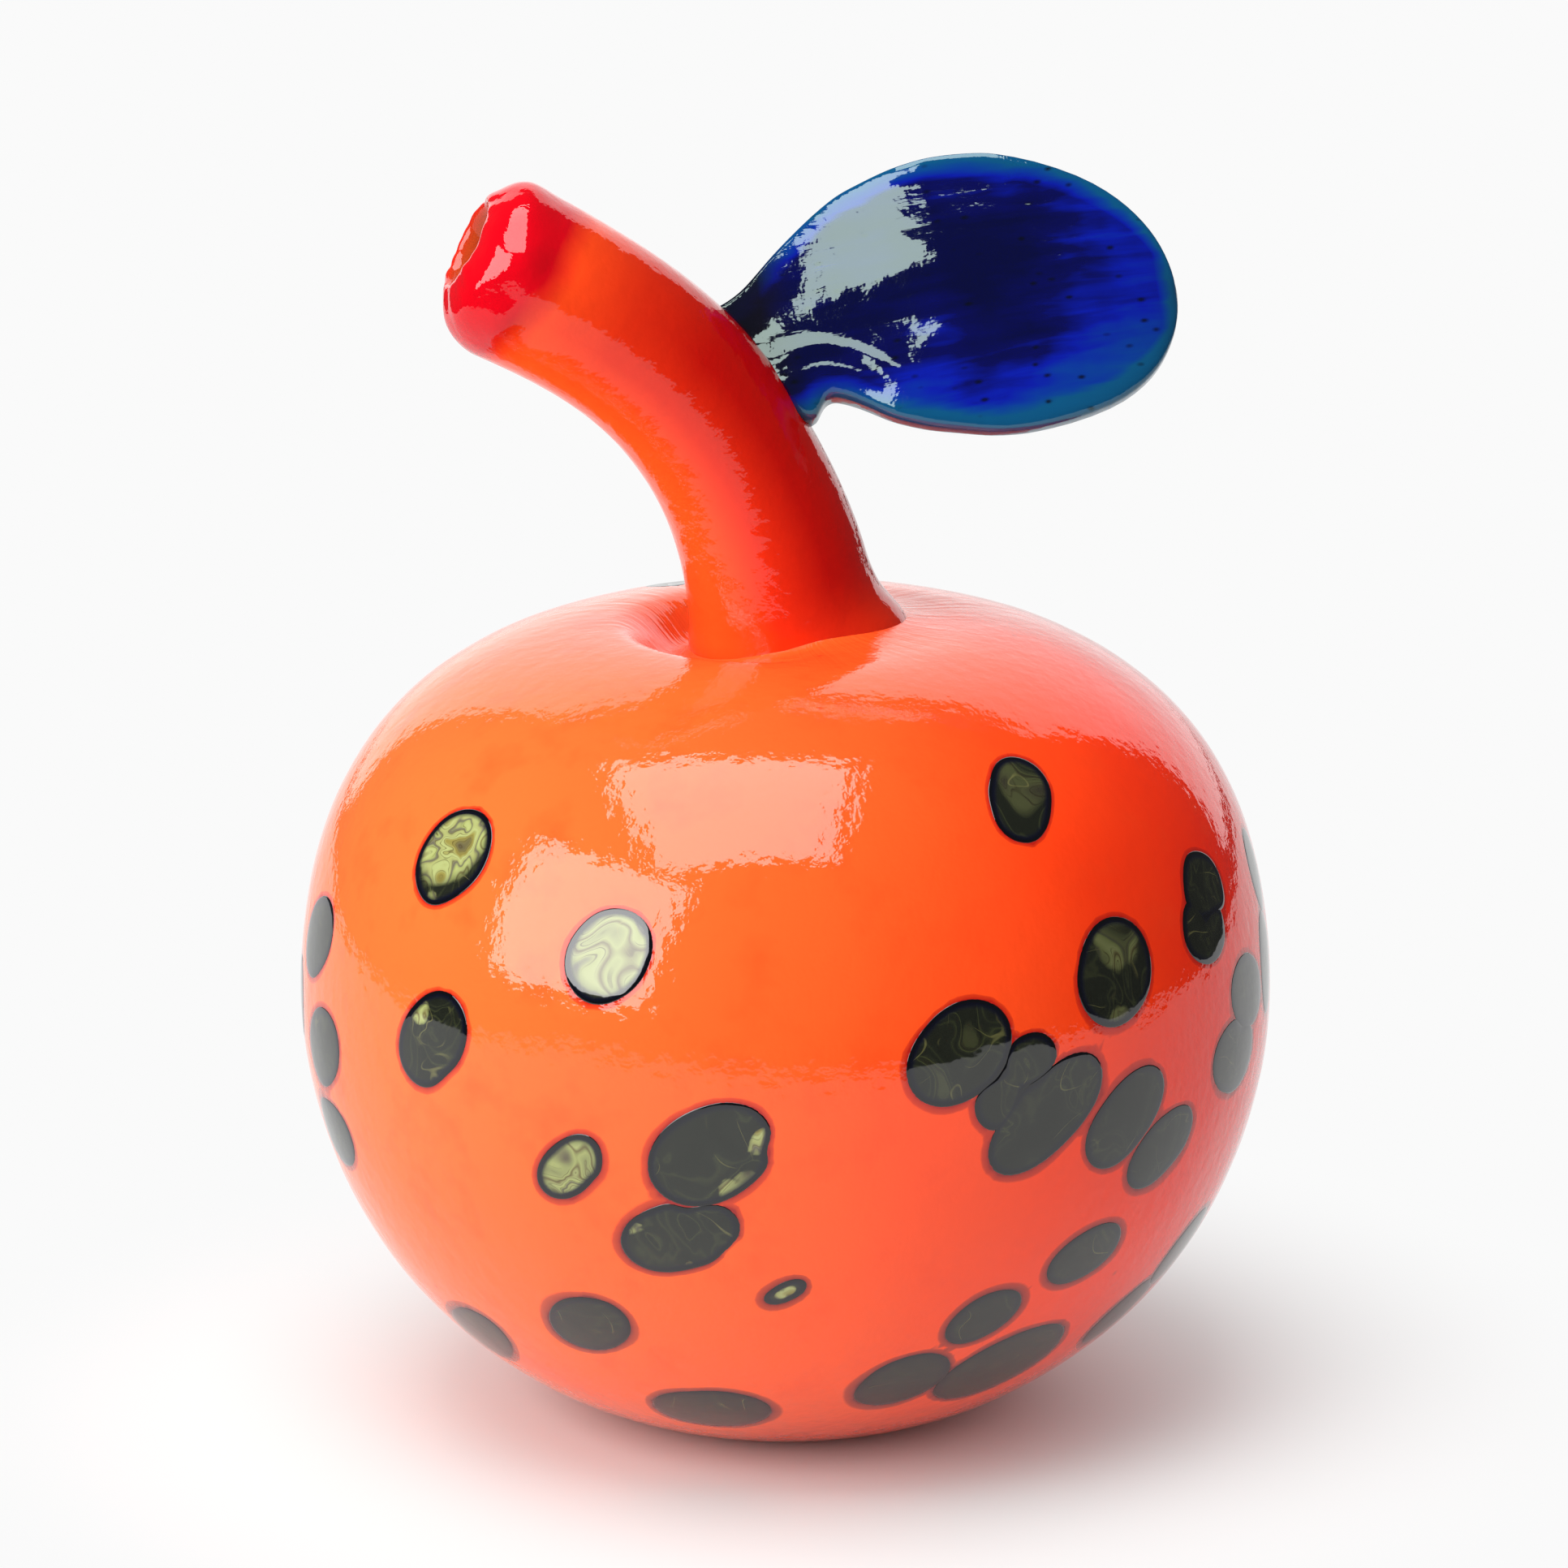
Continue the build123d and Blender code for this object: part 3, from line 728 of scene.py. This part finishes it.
# Ridges from the neck: where they start across the middle line, and where along the leaf they end
RIDGES = [(-3.1, 22), (-6.8, 17)]
RIDGE_HEIGHT, RIDGE_WIDTH, RIDGE_SLOPE, RIDGE_START, RIDGE_FADE = 0.42, 1.4, 0.6, 5.7, 5


def blade_relief(place, across, half_width, x, y):
    """How far the blade stands forward here: the paddle's waves, the fold and the two ridges."""
    relief = sum(height * noise.noise(Vector((x / long, y / wide, layer)))
                 for height, long, wide, layer in BLADE_WAVES)
    # Each feature begins and is full at these millimetres along the leaf or across its middle
    drawn = noise.noise(Vector((x / 6, y / 2.6, 5)))
    relief += DRAWN_HEIGHT * drawn * smooth_step(30, 24, place) * smooth_step(8, 18, place)
    fold = LEAF_FOLD * (smooth_step(27, -3, place) - FOLD_LEVEL) * smooth_step(5, -4, across)
    relief += fold * smooth_step(48, 28, place)
    relief += EDGE_RISE * smooth_step(-4, -0.5, across - half_width) * smooth_step(12, 24, place)
    relief -= LOW_DROP * smooth_step(22, 32, place) * smooth_step(-5, -10, across)
    for start, end in RIDGES:
        gap = across - start + RIDGE_SLOPE * (place - RIDGE_START)
        ridge = RIDGE_HEIGHT * exp(-(gap / RIDGE_WIDTH) ** 2)
        relief += ridge * smooth_step(end, end - RIDGE_FADE, place)
    return relief


print("ridges:", len(RIDGES), "of", RIDGE_HEIGHT, "mm")

# %% A point of the leaf
# How square the edge is: the upper one was pressed flat, the lower one is rounder
UPPER_SQUARE, LOWER_SQUARE = 30, 5


def leaf_point(place, round_it):
    """Point of the leaf on the ring at this place, its place on the flat blade, and its edge gap."""
    middle, half_width, half_thick, forward, slant = through(LEAF_STATIONS, place)
    share = copysign(abs(cos(round_it)) ** 0.7, cos(round_it))
    across = half_width * share
    square = UPPER_SQUARE if share > 0 else LOWER_SQUARE
    deep = copysign(half_thick * max(0, 1 - abs(share) ** square) ** (1 / square), sin(round_it))
    x, y = place + slant * across, middle + across
    ahead = deep + forward + blade_relief(place, across, half_width, x, y)
    point = LEAF_FOOT + leaf_x * x + leaf_y * y + leaf_z * ahead
    edge_gap = min(half_width * (1 - abs(share)), 1.3 * (LEAF_TIP.x - place))
    return point, Vector((x, y, deep)), edge_gap


print("middle of the leaf's front:", [round(c, 1) for c in leaf_point(30, pi / 2)[0]], "mm")

# %% Extrude the leaf
LEAF_SIDES = 120
places = [station[0] for station in LEAF_STATIONS]
thirds = [a + (b - a) * k / 3 for a, b in zip(places[1:10], places[2:11]) for k in (1, 2)]
bm = bmesh.new()
round_layer = bm.verts.layers.float.new("round")
edge_layer = bm.verts.layers.float.new("edge")
blade_layer = bm.verts.layers.float_vector.new("blade")
ring = bmesh.ops.create_circle(bm, segments=LEAF_SIDES, radius=1)["verts"]
for vert in ring:
    vert[round_layer] = atan2(vert.co.y, vert.co.x)
edges = list(bm.edges)
bmesh.ops.holes_fill(bm, edges=edges)
for number, place in enumerate(sorted(places + thirds)):
    if number:
        ring, edges = next_ring(bm, edges)
    for vert in ring:
        point, flat, gap = leaf_point(place, vert[round_layer])
        vert.co = point * MM
        vert[blade_layer] = flat * MM
        vert[edge_layer] = gap
tip = LEAF_FOOT + leaf_x * LEAF_TIP.x + leaf_y * LEAF_TIP.y + leaf_z * LEAF_TIP.z
bmesh.ops.pointmerge(bm, verts=next_ring(bm, edges)[0], merge_co=tip * MM)
bmesh.ops.recalc_face_normals(bm, faces=bm.faces)
leaf = finish_piece(bm, "blue_leaf", "leaf")
smoothing = leaf.modifiers.new("smoothing", "SUBSURF")
smoothing.levels = smoothing.render_levels = 1
print("leaf faces:", len(leaf.data.polygons))

# %% [markdown]
# ## The orange casing's finish
#
# Selenium orange glass is almost opaque over the pale core, and the flame leaves it glossy. To the
# eye that gives a warm colour, sharp reflections with ragged edges, dark red halos round the chips,
# and a few mottles and specks. The colour runs from yellower orange on the left to red on the
# right: in part the casing is thinner on the left, and in part it is painted light on the lit left
# side and painted shade on the right. The skin's small heights are added up in millimetres:
# hammering, drawn lines, and folds at the neck.
# In a Mix node of colours, socket 0 is the share and sockets 6 and 7 are the two colours.

# %% Fire-polished orange glass, colour
orange_glass, tree, shader = new_material("fire-polished selenium orange glass")
place = add(tree, "TexCoord").outputs["Object"]
split = add(tree, "SeparateXYZ", {0: place})
# Painted light and shade: the orange is yellower on the lit left side and redder on the shaded right side;
# in part the casing is also thinner on the left.
lit_left_to_shaded_right = add(tree, "MapRange", {"Value": split.outputs["X"], "From Min": -BODY_RADIUS * MM,
                              "From Max": BODY_RADIUS * MM, "To Min": -0.11, "To Max": 0.89})
drift = add(tree, "TexNoise", {"Vector": place, "Scale": repeats(45.5), "Detail": 2.0})
lit_left_to_shaded_right = add(tree, "Math", {0: drift, 1: 0.22, 2: lit_left_to_shaded_right}, operation="MULTIPLY_ADD")
lit_and_shaded_orange = add(tree, "ValToRGB", {0: lit_left_to_shaded_right}, stops=[
    (0.08, "#FF6C30"), (0.57, "#FF5620"), (0.78, "#FC4010"), (0.92, "#F02204")])
mottle = add(tree, "TexNoise", {"Vector": place, "Scale": repeats(12), "Detail": 3.0, "Roughness": 0.65})
mottle = add(tree, "MapRange", {"Value": mottle, "From Min": 0.52, "From Max": 0.75,
                                "To Min": 0.0, "To Max": 0.35})
colour = add(tree, "Mix", {0: mottle, 6: lit_and_shaded_orange, 7: "#F04014"}, data_type="RGBA")
specks = add(tree, "TexVoronoi", {"Vector": place, "Scale": repeats(11), "Randomness": 1.0})
speck = add(tree, "MapRange", {"Value": specks, "From Min": 0.01, "From Max": 0.06,
                               "To Min": 0.6, "To Max": 0.0})
colour = add(tree, "Mix", {0: speck, 6: colour, 7: "#B4301A"}, data_type="RGBA")
print("shades of orange:", [stop.position for stop in lit_and_shaded_orange.color_ramp.elements])

# %% Fire-polished orange glass, halos
halo = add(tree, "Attribute", attribute_name="halo").outputs["Fac"]
uneven = add(tree, "TexNoise", {"Vector": place, "Scale": repeats(16.67), "Detail": 1.0})
width = add(tree, "MapRange", {"Value": split.outputs["Z"], "From Min": 20 * MM, "From Max": 110 * MM,
                               "To Min": 3.0, "To Max": 1.0})
width = add(tree, "Math", {0: width, 1: uneven}, operation="MULTIPLY")
gap = add(tree, "Math", {0: halo, 1: width}, operation="DIVIDE")
bleed = add(tree, "ValToRGB", {0: gap}, stops=[(0.0, 1.0), (0.25, 0.8), (0.75, 0.6), (1.0, 0.0)])
# The halo is darker and browner low on the body and redder higher up.
rise = add(tree, "MapRange", {"Value": split.outputs["Z"], "From Min": 30 * MM, "From Max": 85 * MM})
halo_tint = add(tree, "ValToRGB", {0: rise}, stops=[(0.0, "#6E2426"), (1.0, "#B41A0E")])
colour = add(tree, "Mix", {0: bleed, 6: colour, 7: halo_tint}, data_type="RGBA")
tree.links.new(colour.outputs[2], shader.inputs["Base Color"])
print("halo: about 0.5 to 1.5 mm wide, widest low down")

# %% Fire-polished orange glass, skin
hammer = add(tree, "TexNoise", {"Vector": place, "Scale": repeats(2.6), "Detail": 3.0, "Roughness": 0.5})
height = add(tree, "Math", {0: hammer, 1: 0.12}, operation="MULTIPLY")
drawn = add(tree, "Mapping", {"Vector": place, "Scale": (repeats(1.1), repeats(1.1), repeats(30))})
drawn = add(tree, "TexNoise", {"Vector": drawn, "Scale": 1.0, "Detail": 1.0})
height = add(tree, "Math", {0: drawn, 1: 0.02, 2: height}, operation="MULTIPLY_ADD")
level = add(tree, "VectorMath", {0: place, 1: (1, 1, 0)}, operation="MULTIPLY")
from_axis = add(tree, "VectorMath", {0: level}, operation="LENGTH")
round_it = add(tree, "VectorMath", {0: level}, operation="NORMALIZE")
# Folds are read on a circle of radius 1, so their scale is a radius over their width there
FOLD_RADIUS, FOLD_WIDTH = 23.4, 0.9
folds = add(tree, "TexNoise", {"Vector": round_it, "Scale": FOLD_RADIUS / FOLD_WIDTH, "Detail": 2.0})
at_neck = add(tree, "MapRange", {"Value": from_axis, "From Min": 18 * MM, "From Max": 36 * MM,
                                 "To Min": 0.13, "To Max": 0.0})
on_top = add(tree, "MapRange", {"Value": split.outputs["Z"], "From Min": 100 * MM, "From Max": 112 * MM})
folds = add(tree, "Math", {0: folds, 1: at_neck}, operation="MULTIPLY")
height = add(tree, "Math", {0: folds, 1: on_top, 2: height}, operation="MULTIPLY_ADD")
skin = add(tree, "Bump", {"Height": height, "Strength": 1.0, "Distance": MM})
tree.links.new(skin.outputs[0], shader.inputs["Normal"])
shader.inputs["Roughness"].default_value = 0.04
shader.inputs["IOR"].default_value = 1.5
casing.data.materials.append(orange_glass)
print("finish:", orange_glass.name)

# %% [markdown]
# ## The chips' finish
#
# Silver lustre glass is nearly black, and in the flame silver comes out of it in olive and gold
# bands, like agate. Bands that lie inside each other are the contour lines of a smooth noise, so
# one colour ramp over that noise paints them all. The gold that is stored on the vertices says
# where they show, and the same noise makes the border of a gold patch ragged. The pale gold is
# partly the lustre's own colour and partly painted reflection of the soft box, which lies on the
# chips where the gold is strongest. The edge of each chip stays navy, and a few gold hairs cross
# the dark.

# %% Silver lustre glass, agate bands
lustre_glass, tree, shader = new_material("silver lustre glass")
place = add(tree, "TexCoord").outputs["Object"]
field = add(tree, "TexNoise", {"Vector": place, "Scale": repeats(9.52), "Detail": 1.6,
                               "Roughness": 0.45, "Distortion": 1.1})
agate = add(tree, "ValToRGB", {0: field}, stops=[
    (0.25, "#4E483A"), (0.36, "#857C3C"), (0.41, "#A0A86C"), (0.455, "#969A5E"), (0.485, "#5C564C"),
    (0.51, "#98A05E"), (0.555, "#A2AA6C"), (0.59, "#6A6038"), (0.625, "#9CA464"), (0.75, "#5E5642")])
stripes = add(tree, "Math", {0: field, 1: 150.0}, operation="MULTIPLY")
stripes = add(tree, "Math", {0: stripes}, operation="SINE")
stripe = add(tree, "MapRange", {"Value": stripes, "From Min": 0.72, "From Max": 0.98})
bunch = add(tree, "TexNoise", {"Vector": place, "Scale": repeats(5.88), "Detail": 1.0})
bunch = add(tree, "MapRange", {"Value": bunch, "From Min": 0.48, "From Max": 0.6,
                               "To Min": 0.0, "To Max": 0.75})
stripe = add(tree, "Math", {0: stripe, 1: bunch}, operation="MULTIPLY")
agate = add(tree, "Mix", {0: stripe, 6: agate, 7: "#4E4020"}, data_type="RGBA")
print("agate bands over a noise of 9.5 mm")

# %% Silver lustre glass, gold on the dark
# Painted reflection: the pale agate stands where the soft box is mirrored on a chip, and in part it is the
# lustre's own gold.
gold = add(tree, "Attribute", attribute_name="gold").outputs["Fac"]
ragged = add(tree, "Math", {0: field, 1: 1.1, 2: gold}, operation="MULTIPLY_ADD")
covered = add(tree, "MapRange", {"Value": ragged, "From Min": 0.78, "From Max": 1.0})
strong = add(tree, "MapRange", {"Value": gold, "From Min": 0.2, "From Max": 0.95,
                                "To Min": 0.16, "To Max": 1.0})
shown = add(tree, "Math", {0: covered, 1: strong}, operation="MULTIPLY")
rays = add(tree, "ValToRGB", {0: field}, stops=[
    (0.3, "#15180F"), (0.46, "#1A1D15"), (0.48, "#2A2E1C"), (0.5, "#191C14"), (0.55, "#1A1D15"),
    (0.565, "#30341E"), (0.58, "#171A12")])
colour = add(tree, "Mix", {0: shown, 6: rays, 7: agate}, data_type="RGBA")
hairs = add(tree, "TexNoise", {"Vector": place, "Scale": repeats(13.33), "Detail": 0.6, "Distortion": 1.3})
hair = add(tree, "ValToRGB", {0: hairs}, stops=[(0.457, 0.0), (0.4625, 0.45), (0.468, 0.0)])
broken = add(tree, "TexNoise", {"Vector": place, "Scale": repeats(6.25), "Detail": 1.0})
broken = add(tree, "MapRange", {"Value": broken, "From Min": 0.45, "From Max": 0.6})
hair = add(tree, "Math", {0: hair, 1: broken}, operation="MULTIPLY")
colour = add(tree, "Mix", {0: hair, 6: colour, 7: "#8E8A52"}, data_type="RGBA")
print("chips that show gold:", sorted(GOLD_AND_REFLECTION))

# %% Silver lustre glass, navy edge and skin
rim = add(tree, "Attribute", attribute_name="rim").outputs["Fac"]
band = add(tree, "MapRange", {"Value": rim, "From Min": 0.0, "From Max": 1.6})
edge = add(tree, "ValToRGB", {0: band}, stops=[(0.2, "#010206"), (0.6, "#04061A"), (1.0, "#0C0E20")])
inward = add(tree, "MapRange", {"Value": rim, "From Min": 0.8, "From Max": 1.5,
                                "To Min": 1.0, "To Max": 0.0})
colour = add(tree, "Mix", {0: inward, 6: colour, 7: edge}, data_type="RGBA")
tree.links.new(colour.outputs[2], shader.inputs["Base Color"])
hammer = add(tree, "TexNoise", {"Vector": place, "Scale": repeats(3.5), "Detail": 2.0})
skin = add(tree, "Bump", {"Height": hammer, "Strength": 1.0, "Distance": 0.03 * MM})
tree.links.new(skin.outputs[0], shader.inputs["Normal"])
shader.inputs["Roughness"].default_value = 0.04
shader.inputs["IOR"].default_value = 1.66
for chip in chips:
    chip.data.materials.append(lustre_glass)
print("finish:", lustre_glass.name)

# %% [markdown]
# ## The stem's finish
#
# The stem is the same orange as the body and goes over to cherry red close to the rim, where the
# glass was reheated most. On the outer side of the bend, the upper right side away from the lamps,
# a painted shade of deep red is laid on, which fades out again at the base, and on the inner side,
# the lower left side that faces the lamps, a painted light of lighter orange. The colour follows
# the distance from the rim and the way round, which are stored on the vertices.

# %% Cherry red stem glass
stem_glass, tree, shader = new_material("struck cherry red glass")
place = add(tree, "TexCoord").outputs["Object"]
rim = add(tree, "Attribute", attribute_name="rim").outputs["Fac"]
outer = add(tree, "Attribute", attribute_name="outer").outputs["Fac"]
inside = add(tree, "Attribute", attribute_name="inside").outputs["Fac"]
cloud = add(tree, "TexNoise", {"Vector": place, "Scale": repeats(11.11), "Detail": 2.0})
way = add(tree, "Math", {0: cloud, 1: 6.0, 2: rim}, operation="MULTIPLY_ADD")
way = add(tree, "Math", {0: outer, 1: -1.5, 2: way}, operation="MULTIPLY_ADD")
way = add(tree, "MapRange", {"Value": way, "From Min": 0.0, "From Max": 90.0})
colour = add(tree, "ValToRGB", {0: way}, stops=[
    (0.125, "#C80012"), (0.175, "#EC4214"), (0.3, "#E0320F"), (1.0, "#E6340F")])
# Painted light: a lighter orange on the lower left side of the stem, which faces the lamps, behind the
# cherry red tip.
under = add(tree, "MapRange", {"Value": outer, "From Min": -0.25, "From Max": -0.85,
                               "To Min": 0.0, "To Max": 0.8})
past_red = add(tree, "MapRange", {"Value": rim, "From Min": 8.0, "From Max": 14.0})
under = add(tree, "Math", {0: under, 1: past_red}, operation="MULTIPLY")
colour = add(tree, "Mix", {0: under, 6: colour, 7: "#FF5A1E"}, data_type="RGBA")
# Painted shade: deep red on the upper right side of the stem, away from the lamps, fading out at the base.
shade_on_top = add(tree, "MapRange", {"Value": outer, "From Min": -0.6, "From Max": 0.4,
                               "To Min": 0.0, "To Max": 0.92})
below = add(tree, "MapRange", {"Value": rim, "From Min": 14.0, "From Max": 36.0})
shade_on_top = add(tree, "Math", {0: shade_on_top, 1: below}, operation="MULTIPLY")
base = add(tree, "MapRange", {"Value": rim, "From Min": 71.0, "From Max": 85.0,
                              "To Min": 1.0, "To Max": 0.2}, interpolation_type="SMOOTHSTEP")
shade_on_top = add(tree, "Math", {0: shade_on_top, 1: base}, operation="MULTIPLY")
colour = add(tree, "Mix", {0: shade_on_top, 6: colour, 7: "#B00000"}, data_type="RGBA")
colour = add(tree, "Mix", {0: inside, 6: colour, 7: "#B84018"}, data_type="RGBA")
tree.links.new(colour.outputs[2], shader.inputs["Base Color"])
hammer = add(tree, "TexNoise", {"Vector": place, "Scale": repeats(2.8), "Detail": 3.0})
skin = add(tree, "Bump", {"Height": hammer, "Strength": 1.0, "Distance": 0.16 * MM})
tree.links.new(skin.outputs[0], shader.inputs["Normal"])
shader.inputs["Roughness"].default_value = 0.04
shader.inputs["IOR"].default_value = 1.5
stem.data.materials.append(stem_glass)
print("finish:", stem_glass.name)

# %% [markdown]
# ## The leaf's finish
#
# Cobalt glass is so strong a blue that it looks nearly black where it is thick, and lights up
# ultramarine and teal at the thin edge. The paddle left brushed streaks along the blade, and small
# dark seeds. Streaks follow the flat blade, so they read the place that is stored on the vertices.

# %% Paddled cobalt glass, depth of the blue
cobalt_glass, tree, shader = new_material("paddled cobalt glass")
blade = add(tree, "Attribute", attribute_name="blade").outputs["Vector"]
edge = add(tree, "Attribute", attribute_name="edge").outputs["Fac"]
split = add(tree, "SeparateXYZ", {0: blade})
laid = add(tree, "Mapping", {"Vector": blade, "Rotation": (0, 0, radians(-28)),
                             "Scale": (repeats(16.67), repeats(2.38), repeats(16.67))})
brush = add(tree, "TexNoise", {"Vector": laid, "Scale": 1.0, "Detail": 4.0, "Distortion": 0.4})
cloud = add(tree, "TexNoise", {"Vector": blade, "Scale": repeats(16.67), "Detail": 3.0})
depth = add(tree, "MapRange", {"Value": edge, "From Min": 0.4, "From Max": 4.0,
                               "To Min": 0.42, "To Max": 0.0})
# Thinner towards the tip, the lower edge and the upper edge: axis, from, to, and how much
for axis, start, end, most in (("X", 34, 62, 0.26), ("Y", -2, -16, 0.36), ("Y", 17, 27, 0.2)):
    thin = add(tree, "MapRange", {"Value": split.outputs[axis], "From Min": start * MM,
                                  "From Max": end * MM, "To Min": 0.0, "To Max": most})
    depth = add(tree, "Math", {0: depth, 1: thin}, operation="ADD")
depth = add(tree, "Math", {0: cloud, 1: 0.5, 2: depth}, operation="MULTIPLY_ADD")
depth = add(tree, "Math", {0: brush, 1: 0.4, 2: depth}, operation="MULTIPLY_ADD")
colour = add(tree, "ValToRGB", {0: depth}, stops=[
    (0.42, "#000030"), (0.56, "#010146"), (0.68, "#02118A"), (0.85, "#023080"), (1.0, "#04476E")])
print("brushed streaks about 2.4 mm apart")

# %% Paddled cobalt glass, neck, seeds and skin
neck = add(tree, "MapRange", {"Value": split.outputs["X"], "From Min": 0.5 * MM, "From Max": 6 * MM,
                              "To Min": 0.95, "To Max": 0.0})
colour = add(tree, "Mix", {0: neck, 6: colour, 7: "#0A0614"}, data_type="RGBA")
pressed = add(tree, "Mapping", {"Vector": blade, "Rotation": (0, 0, radians(-20)),
                                "Scale": (repeats(4.762), repeats(2.5), repeats(10))})
seeds = add(tree, "TexVoronoi", {"Vector": pressed, "Scale": 1.0})
seed = add(tree, "MapRange", {"Value": seeds, "From Min": 0.06, "From Max": 0.18,
                              "To Min": 0.85, "To Max": 0.0})
colour = add(tree, "Mix", {0: seed, 6: colour, 7: "#010110"}, data_type="RGBA")
tree.links.new(colour.outputs[2], shader.inputs["Base Color"])
hammer = add(tree, "TexNoise", {"Vector": blade, "Scale": repeats(4), "Detail": 3.0})
height = add(tree, "Math", {0: hammer, 1: 0.12}, operation="MULTIPLY")
height = add(tree, "Math", {0: brush, 1: 0.06, 2: height}, operation="MULTIPLY_ADD")
skin = add(tree, "Bump", {"Height": height, "Strength": 1.0, "Distance": MM})
tree.links.new(skin.outputs[0], shader.inputs["Normal"])
shader.inputs["Roughness"].default_value = 0.05
shader.inputs["IOR"].default_value = 1.7
shader.inputs["Specular Tint"].default_value = linear("#E4FFF4")
leaf.data.materials.append(cobalt_glass)
print("finish:", cobalt_glass.name)

# %% [markdown]
# ## The opal core
#
# Under the casing lies a bubble of opal glass. It only shows as the ground flat under the foot and
# deep in the bore. Its CAD shape is right, so the CAD piece stays and just gets a better finish:
# cloudy cream glass, glossy inside and matt where it was ground.

# %% Opal glass, ground below
opal_glass, tree, shader = new_material("opal glass, ground below")
place = add(tree, "TexCoord").outputs["Object"]
split = add(tree, "SeparateXYZ", {0: place})
ground = add(tree, "Math", {0: split.outputs["Z"], 1: 0.3 * MM}, operation="LESS_THAN")
cloud = add(tree, "TexNoise", {"Vector": place, "Scale": repeats(14.29), "Detail": 3.0})
colour = add(tree, "ValToRGB", {0: cloud}, stops=[(0.3, "#F3DDB4"), (0.7, "#FBEFD6")])
tree.links.new(colour.outputs[0], shader.inputs["Base Color"])
rough = add(tree, "MapRange", {"Value": ground, "To Min": 0.08, "To Max": 0.55})
tree.links.new(rough.outputs[0], shader.inputs["Roughness"])
shader.inputs["IOR"].default_value = 1.5
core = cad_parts["body_core"]
core.data.materials.clear()
core.data.materials.append(opal_glass)
print("finish:", opal_glass.name)
